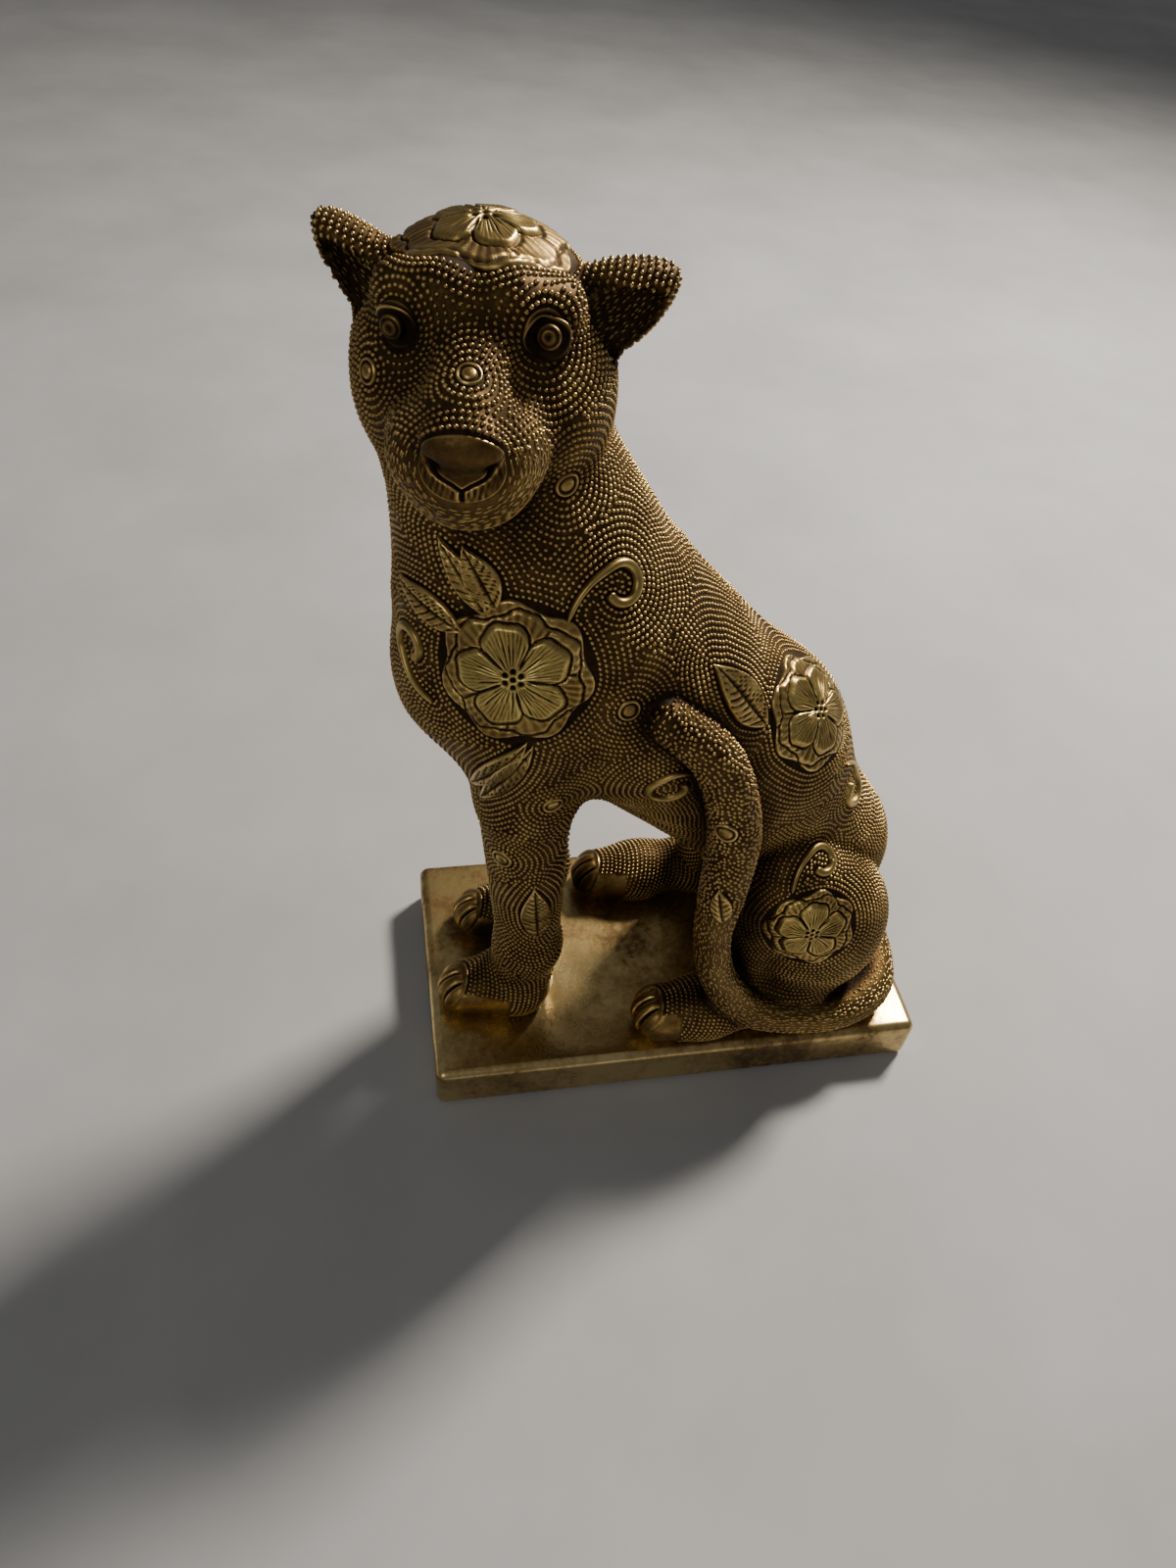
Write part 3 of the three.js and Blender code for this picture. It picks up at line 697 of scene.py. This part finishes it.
# The left side follows the photograph and the right side repeats it.
for side in (1, -1):
    hand = "left" if side == 1 else "right"

    def at(x, y, z):
        return (x * side, y, z)

    flower(f"shoulder_flower_{hand}", at(26.8, -51.5, 130.3), at(23.3, -51.5, 144.2), 16.5, side * 0.21)
    leaf(at(22.3, -54.4, 143.6), at(18, -60.7, 155.7), 7.6)
    leaf(at(21.7, -56.1, 142.1), at(13.9, -64, 156), 6)
    leaf(at(20.6, -59.6, 137.5), at(4.5, -69, 141.5), 7)
    leaf(at(29.2, -47.9, 115), at(15, -58.6, 92), 6)
    leaf(at(29.4, -46.8, 114), at(18, -57, 88.5), 6)
    leaf(at(22.4, -42.2, 39.1), at(23.8, -44.1, 61), 8)
    leaf(at(20.5, 6.5, 107.5), at(20.2, -9, 126), 10)
    scroll(at(20.8, -31.1, 146.9), at(25.1, -41.9, 142.2), 4.7, side)
    scroll(at(11.8, -70.1, 128.1), at(19.5, -66.7, 118.7), 4.6, side)
    scroll(at(27.2, -15.6, 96), at(27.5, -8.5, 101), 5.4, -side)
    scroll(at(12, 40, 75), at(14, 33, 87), 4.6, side)
    scroll(at(24, 29.5, 62.5), at(29, 21, 57), 4.2, side)
    flower(f"haunch_flower_{hand}", at(32.5, 28, 45), at(30, 28, 54), 13, 0, 0.7)
    ring(at(21.9, -52, 70.3), 3)
    ring(at(25.6, -41.5, 91.7), 2.8)
    ring(at(19.3, -41.9, 167.2), 2.7)
    ring(at(27.9, -27.9, 121.3), 2.8)
flower("hip_flower", (13.5, 21, 105), (1.3, 24.9, 107.9), 15, 0.3, 0.6)
flower("crown_flower", (-2, -55.4, 204), (10.5, -56.5, 203), 17, 0.3, 0.35, 0.78)
leaf((35.9, 1.2, 57), (36.2, -1.8, 69), 5.5)
ring((35.1, -3.4, 88.7), 3.2)
ring((29.1, -60.7, 192.4), 2.3)
ring((10.4, -75, 184.2), 2.5)
eye((15.2, -72.2, 193.4))
eye((20.5, -47.3, 194.4))
nose((38, -62.7, 180))
paw(13, -66)
paw(-13, -59.5)
paw(28, -12)
paw(-24, -21)


# The skin
def on_tail(p):
    return tail_field(np.ascontiguousarray(p.T)) < 0.6


def in_ear(p):
    columns = np.ascontiguousarray(p.T)
    return np.min([field(columns) for field in ear_hollows], axis=0) < 0.5


def bare(p):
    """Where the cast is smooth: the paws."""
    x, y, z = p.T
    fore = (z < 10) & (y < np.where(x > 0, -48, -42))
    hind = (z < 12) & (y < np.where(x > 0, -2, -8)) & (y > -40)
    return (fore | hind) & ~on_tail(p)


def furry(p):
    """Where fine strokes take the place of beads: muzzle, chin, the ears' hollows and the lower tail."""
    f, l, u = ((p - HEAD_AT) @ HEAD_TURN).T
    muzzle = (f > 24) & (u < -1) & (u > -22) & (np.abs(l) < 14)
    return muzzle | in_ear(p) | (on_tail(p) & (p[:, 2] < 58))


def remeshed(node, cell):
    """An even mesh of a node, as points in millimetres and faces of four."""
    copy = bpy.data.objects.new("even_copy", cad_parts[node].data.copy())
    bpy.context.collection.objects.link(copy)
    grid = copy.modifiers.new("grid", "REMESH")
    grid.mode = "VOXEL"
    grid.voxel_size = cell * MM
    mesh = bpy.data.meshes.new_from_object(copy.evaluated_get(bpy.context.evaluated_depsgraph_get()))
    points = np.empty(3 * len(mesh.vertices), np.float32)
    mesh.vertices.foreach_get("co", points)
    faces = np.empty(len(mesh.loops), np.int32)
    mesh.loops.foreach_get("vertex_index", faces)
    bpy.data.objects.remove(copy)
    bpy.data.meshes.remove(mesh)
    points = points.reshape(-1, 3).astype(float) / MM
    points[:, 2] -= PLINTH_TOP
    return points, faces.reshape(-1, 4).astype(np.int64)


def spread(points, triangles, start, passes=160):
    """Carries distances over the surface from the points where they are known."""
    d = start.copy()
    corners = []
    for c in range(3):
        here, p, q = triangles[:, c], triangles[:, c - 2], triangles[:, c - 1]
        ep = points[p] - points[here]
        eq = points[q] - points[here]
        pp, qq, pq = ((s * t).sum(axis=1) for s, t in ((ep, ep), (eq, eq), (ep, eq)))
        area = np.maximum(pp * qq - pq * pq, 1e-9)
        corners.append((here, p, q, np.sqrt(pp), np.sqrt(qq), qq / area, -pq / area, pp / area))
    for _ in range(passes):
        before = d.copy()
        for here, p, q, to_p, to_q, a, b, c in corners:
            tp = np.minimum(d[p], 1e6)
            tq = np.minimum(d[q], 1e6)
            total = a + 2 * b + c
            half = (a + b) * tp + (b + c) * tq
            rest = a * tp * tp + 2 * b * tp * tq + c * tq * tq - 1
            root = half * half - total * rest
            wave = (half + np.sqrt(np.maximum(root, 0))) / np.maximum(total, 1e-9)
            past_p = tp - wave
            past_q = tq - wave
            through = (a * past_p + b * past_q <= 0) & (b * past_p + c * past_q <= 0)
            along = np.minimum(tp + to_p, tq + to_q)
            np.minimum.at(d, here, np.where(through & (root >= 0) & (tp + tq < 1e5), wave, along))
        if np.abs(np.minimum(before, 1e6) - np.minimum(d, 1e6)).max() < 0.02:
            break
    return d


def rows(points, triangles, distance, first, pitch):
    """Lines of equal distance over the surface, as chains of points."""
    g = (distance - first) / pitch
    corner = g[triangles]
    low = np.ceil(corner.min(axis=1)).astype(np.int64)
    high = corner.max(axis=1)
    keys, places = [], []
    for shift in range(3):
        level = low + shift
        used = (level <= high) & (level >= 0) & (level < MOST_ROWS)
        t, m = triangles[used], level[used]
        found_key = np.full((len(t), 2), -1, np.int64)
        found_at = np.zeros((len(t), 2, 3))
        for i, j in ((0, 1), (1, 2), (2, 0)):
            p = np.minimum(t[:, i], t[:, j])
            q = np.maximum(t[:, i], t[:, j])
            crossed = (g[p] < m) != (g[q] < m)
            share = (m - g[p]) / np.where(crossed, g[q] - g[p], 1)
            spot = points[p] + share[:, None] * (points[q] - points[p])
            slot = np.where(found_key[:, 0] < 0, 0, 1)
            rank = np.arange(len(t))[crossed]
            found_key[rank, slot[crossed]] = ((p * len(points) + q) * MOST_ROWS + m)[crossed]
            found_at[rank, slot[crossed]] = spot[crossed]
        whole = (found_key >= 0).all(axis=1)
        keys.append(found_key[whole])
        places.append(found_at[whole])
    keys = np.concatenate(keys)
    places = np.concatenate(places).reshape(-1, 3)
    _, first_seen, ids = np.unique(keys, return_index=True, return_inverse=True)
    return chains(places[first_seen], ids.reshape(-1, 2))


def chains(places, links):
    """Joins short links end to end."""
    joined = [[] for _ in places]
    for a, b in links.tolist():
        joined[a].append(b)
        joined[b].append(a)
    seen = np.zeros(len(places), bool)
    ends = [i for i, near in enumerate(joined) if len(near) == 1]
    found = []
    for start in ends + list(range(len(places))):
        if seen[start]:
            continue
        chain = [start]
        seen[start] = True
        while True:
            onward = [i for i in joined[chain[-1]] if not seen[i]]
            if not onward:
                break
            chain.append(onward[0])
            seen[onward[0]] = True
        if len(chain) > 2 and chain[0] in joined[chain[-1]]:
            chain.append(start)
        found.append(places[chain])
    return found


def spaced(lines, step):
    """Evenly spaced points along lines, and the direction of the line at each."""
    spots, ways = [], []
    for line in lines:
        lengths = np.linalg.norm(np.diff(line, axis=0), axis=1)
        run = np.concatenate([[0], np.cumsum(lengths)])
        if run[-1] < 0.6 * step:
            continue
        count = max(1, round(run[-1] / step))
        marks = (np.arange(count) + 0.5) * run[-1] / count
        spot = np.stack([np.interp(marks, run, line[:, c]) for c in range(3)], axis=1)
        ahead = np.stack([np.interp(marks + 0.3, run, line[:, c]) for c in range(3)], axis=1)
        back = np.stack([np.interp(marks - 0.3, run, line[:, c]) for c in range(3)], axis=1)
        spots.append(spot)
        ways.append(ahead - back)
    return np.concatenate(spots), np.concatenate(ways)


def thinned(spots, closest):
    """Which spots to keep so that no two are closer than closest."""
    tree = tree_of(spots)
    kept = np.ones(len(spots), bool)
    for i, spot in enumerate(spots):
        if kept[i]:
            for _, j, _ in tree.find_range(spot, closest):
                if j > i:
                    kept[j] = False
    return kept


def gaps(points, beads_at):
    """Those points that no bead is near, thinned."""
    tree = tree_of(beads_at)
    lone = points[[tree.find(p)[2] > GAP for p in points]]
    return lone[thinned(lone, GAP)]


def along_tail(p):
    """The tail's direction at the nearest part of it."""
    line = np.array([on_line(TAIL_LINE[:, :3], t) for t in np.linspace(0, 1, 60)])
    way = np.gradient(line, axis=0)
    nearest = ((p[:, None] - line[None]) ** 2).sum(axis=2).argmin(axis=1)
    return way[nearest]


def domes(name, spots, ways, size, sides=5):
    """Small raised beads, or strokes if long and narrow, each a dome on the skin."""
    along, across, height = size
    spots, n = settle(spots, 2)
    t = units(ways - (ways * n).sum(axis=1)[:, None] * n)
    b = np.cross(n, t)
    scale = rng.uniform(0.86, 1.1, len(spots))[:, None]
    turn = rng.uniform(0, 2 * math.pi, len(spots))
    points = [spots + n * height * scale]
    for share, level in ((0.6, 0.76 * height), (1.0, -0.12)):
        for side in range(sides):
            angle = (turn + side * 2 * math.pi / sides)[:, None]
            out = np.cos(angle) * along * t + np.sin(angle) * across * b
            points.append(spots + scale * (share * out) + n * level)
    points = np.stack(points, axis=1)
    # painted shade: bead tones are darkened between the limbs and under overhangs, with patina in tight
    # corners
    relief_and_shade = np.array([1.0] + [0.85] * sides + [0.2] * sides) * patina_and_painted_shade(spots, n)[:, None]
    start = np.arange(len(spots))[:, None] * (1 + 2 * sides)
    faces = []
    for side in range(sides):
        onward = (side + 1) % sides
        faces.append(start + [0, 1 + side, 1 + onward, 1 + onward])
        faces.append(start + [1 + side, 1 + sides + side, 1 + sides + onward, 1 + onward])
    faces = np.stack(faces, axis=1).reshape(-1, 4)
    to_part(name, points.reshape(-1, 3), faces, relief_and_shade.ravel(), np.zeros(relief_and_shade.size))


def skin_and_beads():
    """The skin, sunk under the face and the paws, with its beads and strokes."""
    points, quads = remeshed("panther", SKIN_CELL)
    points, normals = settle(points, 3, standing)
    triangles = np.concatenate([quads[:, [0, 1, 2]], quads[:, [0, 2, 3]]])
    start = np.full(len(points), np.inf)
    inside = np.zeros(len(points))
    for drawing in drawings:
        outside = drawing.outside(points, normals)
        start = np.where(outside < REACH, np.minimum(start, outside), start)
        if drawing in lowered:
            inside = np.maximum(inside, np.clip(-outside - SINK_FROM, 0, 1.4))
    distance = spread(points, triangles, start)
    smooth = bare(points)
    relief_and_shade = np.where(smooth, ON_PAWS, BETWEEN_BEADS * (0.25 + 0.75 * ramp(distance, 1.2)))
    # painted shade: the skin is darkened between the limbs and under overhangs, with patina in tight corners
    relief_and_shade = np.where(furry(points) & ~smooth, UNDER_FUR, relief_and_shade) * patina_and_painted_shade(points, normals)
    relief_and_shade = np.where(in_ear(points), IN_EARS, relief_and_shade)
    to_part("panther_skin", points - normals * inside[:, None], quads, relief_and_shade, np.zeros(len(points)))
    beads(points, triangles, distance)
    strokes(points, triangles, distance)


def beads(points, triangles, distance):
    """Rows of beads that follow the outlines of the ornaments, and looser ones on the tail."""
    spots, ways = spaced(rows(points, triangles, distance, FIRST_ROW, ROW), BEAD_STEP)
    wanted = ~bare(spots) & ~furry(spots) & (spots[:, 2] > ABOVE_PLINTH)
    spots, ways = spots[wanted], ways[wanted]
    loose = np.where(on_tail(spots), LOOSE_ON_TAIL, LOOSE)[:, None]
    spots = spots + rng.uniform(-1, 1, spots.shape) * loose
    kept = thinned(spots, CLOSEST)
    spots, ways = spots[kept], ways[kept]
    middles = points[triangles].mean(axis=1)
    ground = (distance[triangles].min(axis=1) > FIRST_ROW) & (middles[:, 2] > ABOVE_PLINTH)
    filled = gaps(middles[ground], spots)
    filled = filled[~bare(filled) & ~furry(filled)]
    spots = np.concatenate([spots, filled])
    ways = np.concatenate([ways, np.tile((0.3, 1, 0.2), (len(filled), 1))])
    spots, normals = settle(spots, 1)
    open_ground = hollow(spots, normals, 2.5) < TIGHT
    spots, ways = spots[open_ground], ways[open_ground]
    order = np.argsort(spots[:, 2], kind="stable")
    for number, group in enumerate(np.array_split(order, BEAD_GROUPS)):
        domes(f"beads_{number + 1}", spots[group], ways[group], BEAD)


def strokes(points, triangles, distance):
    """Fine strokes of fur, in rows round the ornaments. On the tail they run along it."""
    spots, ways = spaced(rows(points, triangles, distance, FIRST_STROKES, STROKE_ROW), STROKE_STEP)
    wanted = furry(spots) & ~bare(spots) & (spots[:, 2] > ABOVE_PLINTH)
    spots, ways = spots[wanted], ways[wanted]
    spots = spots + rng.uniform(-LOOSE_STROKES, LOOSE_STROKES, spots.shape)
    tail_part = on_tail(spots)
    ways[tail_part] = along_tail(spots[tail_part])
    domes("fur_strokes", spots, ways, STROKE)


# The plinth: a slab with rounded edges and the slight unevenness of a cast
def unevenness(p, size=16, waves=14):
    """A smooth random height between about -1 and 1."""
    draw = np.random.default_rng(3)
    ways = draw.normal(size=(waves, 3)) * (2.2 / size)
    starts = draw.uniform(0, 2 * math.pi, waves)
    return np.sin(p @ ways.T + starts).sum(axis=1) / math.sqrt(2 * waves)


def plinth(rounding=2.6, cell=2.6, uneven=0.16):
    half = (PLINTH_HIGH - PLINTH_LOW) / 2
    centre = (PLINTH_HIGH + PLINTH_LOW) / 2 - (0, 0, PLINTH_TOP)
    for axis in range(3):
        for side in (1, -1):
            others = [(axis + 1) % 3, (axis + 2) % 3]
            spans = [edge_spans(half[o], rounding, cell) for o in others]
            first, second = np.meshgrid(*spans, indexing="ij")
            outer = np.zeros((first.size, 3))
            outer[:, axis] = side * half[axis]
            outer[:, others[0]] = first.ravel()
            outer[:, others[1]] = second.ravel()
            inner = np.clip(outer, -(half - rounding), half - rounding)
            out = units(outer - inner)
            above = ramp(outer[:, 2] + half[2] - 0.5, 3)
            points = inner + (rounding + uneven * above * unevenness(inner + out))[:, None] * out
            faces = grid_faces(len(spans[0]), len(spans[1]))
            if side < 0:
                faces = faces[:, ::-1]
            to_part("plinth_cast", points + centre, faces, np.full(len(points), 0.8), np.zeros(len(points)))


def edge_spans(half, rounding, cell):
    """Places along an edge, closer together where it is rounded."""
    flat = np.linspace(-(half - rounding), half - rounding, max(2, round(2 * (half - rounding) / cell)))
    turn = rounding * np.tan(np.linspace(0, math.pi / 4, 7)[1:])
    return np.concatenate([-(half - rounding) - turn[::-1], flat, half - rounding + turn])


# Materials
def nodes_of(name):
    material = bpy.data.materials.new(name)
    material.use_nodes = True
    tree = material.node_tree
    return material, tree, tree.nodes["Principled BSDF"]


def noise(tree, scale, detail=4.0, roughness=0.6):
    where = tree.nodes.new("ShaderNodeTexCoord")
    node = tree.nodes.new("ShaderNodeTexNoise")
    node.inputs["Scale"].default_value = scale
    node.inputs["Detail"].default_value = detail
    node.inputs["Roughness"].default_value = roughness
    tree.links.new(where.outputs["Object"], node.inputs["Vector"])
    return node.outputs["Fac"]


def attribute(tree, name):
    node = tree.nodes.new("ShaderNodeAttribute")
    node.attribute_name = name
    return node.outputs["Fac"]


def sums(tree, operation, first, second):
    node = tree.nodes.new("ShaderNodeMath")
    node.operation = operation
    for socket, value in zip(node.inputs, (first, second)):
        if isinstance(value, (int, float)):
            socket.default_value = value
        else:
            tree.links.new(value, socket)
    return node.outputs[0]


def mixed(tree, share, first, second):
    node = tree.nodes.new("ShaderNodeMix")
    node.data_type = "RGBA"
    tree.links.new(share, node.inputs["Factor"])
    for socket, value in ((node.inputs["A"], first), (node.inputs["B"], second)):
        if isinstance(value, tuple):
            socket.default_value = (*value, 1)
        else:
            tree.links.new(value, socket)
    return node.outputs["Result"]


def stepped(tree, value, stops):
    """A ramp through (place, colour or grey) stops."""
    node = tree.nodes.new("ShaderNodeValToRGB")
    ramp_stops = node.color_ramp.elements
    while len(ramp_stops) < len(stops):
        ramp_stops.new(0.5)
    for stop, (place, colour) in zip(ramp_stops, stops):
        stop.position = place
        stop.color = (*colour, 1) if isinstance(colour, tuple) else (colour, colour, colour, 1)
    tree.links.new(value, node.inputs["Fac"])
    return node.outputs["Color"]


def roughened(tree, shader, scale, strength, depth):
    node = tree.nodes.new("ShaderNodeBump")
    node.inputs["Strength"].default_value = strength
    node.inputs["Distance"].default_value = depth * MM
    tree.links.new(noise(tree, scale, 6, 0.7), node.inputs["Height"])
    tree.links.new(node.outputs["Normal"], shader.inputs["Normal"])


def antique_gold():
    """Gold on the crests, dark brown patina in the hollows with painted shade between the limbs, and pale
    rubbed gold on the flowers.
    """
    material, tree, shader = nodes_of("antique_gold")
    wear = sums(tree, "SUBTRACT", noise(tree, 110), 0.5)
    fine = sums(tree, "SUBTRACT", noise(tree, 900), 0.5)
    # the relief attribute carries patina in tight corners and painted shade between the limbs and under
    # overhangs
    level = sums(tree, "ADD", attribute(tree, "relief_and_shade"), sums(tree, "MULTIPLY", wear, 0.5))
    level = sums(tree, "ADD", level, sums(tree, "MULTIPLY", fine, 0.35))
    gold = stepped(tree, level, [
        (0.0, (0.018, 0.01, 0.005)), (0.25, (0.062, 0.035, 0.013)), (0.5, (0.18, 0.108, 0.034)),
        (0.8, (0.42, 0.275, 0.09)), (1.0, (0.68, 0.48, 0.19)),
    ])
    pale = stepped(tree, level, [
        (0.0, (0.02, 0.012, 0.005)), (0.35, (0.12, 0.075, 0.024)), (0.6, (0.41, 0.3, 0.095)),
        (0.9, (0.62, 0.48, 0.165)),
    ])
    share = sums(tree, "ADD", attribute(tree, "rubbed"), sums(tree, "MULTIPLY", wear, 1.2))
    share = sums(tree, "MINIMUM", sums(tree, "MAXIMUM", share, 0.0), 1.0)
    tree.links.new(mixed(tree, share, gold, pale), shader.inputs["Base Color"])
    tree.links.new(stepped(tree, level, [(0.0, 0.85), (0.4, 1.0)]), shader.inputs["Metallic"])
    tree.links.new(stepped(tree, level, [(0.1, 0.7), (0.5, 0.42), (1.0, 0.27)]), shader.inputs["Roughness"])
    roughened(tree, shader, 1300, 0.35, 0.12)
    return material


def plain_gold():
    """Smooth bright gold with dark brown blotches."""
    material, tree, shader = nodes_of("plain_gold")
    blotch = sums(tree, "MULTIPLY", noise(tree, 38, 5, 0.62), 0.72)
    speck = sums(tree, "MULTIPLY", noise(tree, 480, 4, 0.7), 0.28)
    level = sums(tree, "ADD", blotch, speck)
    colour = stepped(tree, level, [
        (0.34, (0.07, 0.038, 0.015)), (0.43, (0.2, 0.125, 0.048)), (0.5, (0.47, 0.33, 0.13)),
        (0.62, (0.72, 0.56, 0.26)),
    ])
    tree.links.new(colour, shader.inputs["Base Color"])
    tree.links.new(stepped(tree, level, [(0.36, 0.75), (0.5, 0.97)]), shader.inputs["Metallic"])
    tree.links.new(stepped(tree, level, [(0.34, 0.5), (0.5, 0.3), (0.66, 0.22)]), shader.inputs["Roughness"])
    roughened(tree, shader, 130, 0.3, 0.4)
    return material


def pale_floor():
    """Plain pale grey, a little uneven."""
    material, tree, shader = nodes_of("pale_floor")
    grey = stepped(tree, noise(tree, 9, 6, 0.6), [(0.3, 0.34), (0.7, 0.42)])
    tree.links.new(grey, shader.inputs["Base Color"])
    shader.inputs["Roughness"].default_value = 0.7
    return material


# Pieces
def piece(name, patches, material):
    """One mesh object from patches of (points, faces, relief, rubbed)."""
    counts = np.cumsum([0] + [len(p[0]) for p in patches])
    points = np.concatenate([p[0] for p in patches]) + (0, 0, PLINTH_TOP)
    faces = np.concatenate([p[1] + start for p, start in zip(patches, counts)])
    mesh = bpy.data.meshes.new(name)
    mesh.from_pydata((points * MM).tolist(), [], [f[:3] if f[2] == f[3] else f for f in faces.tolist()])
    for key, column in (("relief_and_shade", 2), ("rubbed", 3)):
        values = np.concatenate([p[column] for p in patches]).astype(np.float32)
        mesh.attributes.new(key, "FLOAT", "POINT").data.foreach_set("value", values)
    mesh.shade_smooth()
    mesh.materials.append(material)
    made = bpy.data.objects.new(name, mesh)
    bpy.context.collection.objects.link(made)
    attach(made, "root")
    return made


def weld(made):
    """Joins the sides of a piece where they meet."""
    bpy.context.view_layer.objects.active = made
    join = made.modifiers.new("join", "WELD")
    join.merge_threshold = 0.05 * MM
    welded = bpy.data.meshes.new_from_object(made.evaluated_get(bpy.context.evaluated_depsgraph_get()))
    made.modifiers.clear()
    made.data = welded


# Camera, light and floor
# The camera is the photograph's, fitted to the plinth's corners, in metres, degrees and pixels.
CAMERA_AT = (0.19039, -0.07538, 0.28196)
CAMERA_YAW, CAMERA_PITCH, CAMERA_ROLL = 75.903, 44.908, 6.444
PHOTO_HEIGHT = 1600
FOCAL_PIXELS = 1109


def camera():
    yaw, pitch, roll = (math.radians(a) for a in (CAMERA_YAW, CAMERA_PITCH, CAMERA_ROLL))
    ahead = Vector((-math.sin(yaw) * math.cos(pitch), math.cos(yaw) * math.cos(pitch), -math.sin(pitch)))
    level = Vector((math.cos(yaw), math.sin(yaw), 0))
    upright = level.cross(ahead)
    right = math.cos(roll) * level + math.sin(roll) * upright
    up = -math.sin(roll) * level + math.cos(roll) * upright
    data = bpy.data.cameras.new("camera")
    data.sensor_width = 36
    data.lens = 36 * FOCAL_PIXELS / PHOTO_HEIGHT
    data.clip_start = 0.01
    made = bpy.data.objects.new("camera", data)
    made.matrix_world = Matrix((right, up, -ahead)).transposed().to_4x4()
    made.location = CAMERA_AT
    bpy.context.collection.objects.link(made)
    bpy.context.scene.camera = made


def lamp(name, place, size, watts, tint):
    data = bpy.data.lights.new(name, "AREA")
    data.size = size
    data.energy = watts
    data.color = tint
    made = bpy.data.objects.new(name, data)
    made.location = place
    made.rotation_euler = (Vector((0, 0, 0.1)) - Vector(place)).to_track_quat("-Z", "Y").to_euler()
    bpy.context.collection.objects.link(made)


def studio():
    lamp("key", place=(-0.5, 0.62, 0.85), size=0.2, watts=24, tint=(1.0, 0.93, 0.84))
    lamp("fill", place=(0.75, -0.55, 0.7), size=0.6, watts=1.7, tint=(1.0, 0.97, 0.94))
    world = bpy.data.worlds.new("studio")
    world.use_nodes = True
    world.node_tree.nodes["Background"].inputs["Color"].default_value = (0.8, 0.8, 0.8, 1)
    world.node_tree.nodes["Background"].inputs["Strength"].default_value = 0.18
    bpy.context.scene.world = world


def floor():
    size = 4.0
    mesh = bpy.data.meshes.new("floor")
    corners = [(-size, -size, 0), (size, -size, 0), (size, size, 0), (-size, size, 0)]
    mesh.from_pydata(corners, [], [(0, 1, 2, 3)])
    mesh.materials.append(pale_floor())
    made = bpy.data.objects.new("floor", mesh)
    bpy.context.collection.objects.link(made)


skin_and_beads()
plinth()
dark = antique_gold()
plain = plain_gold()
for name, patches in parts.items():
    if name == "plinth_cast":
        made = piece(name, patches, plain)
        weld(made)
        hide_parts("plinth")
    else:
        made = piece(name, patches, dark)
    if name == "panther_skin":
        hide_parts("panther")
camera()
studio()
floor()

bpy.context.view_layer.update()
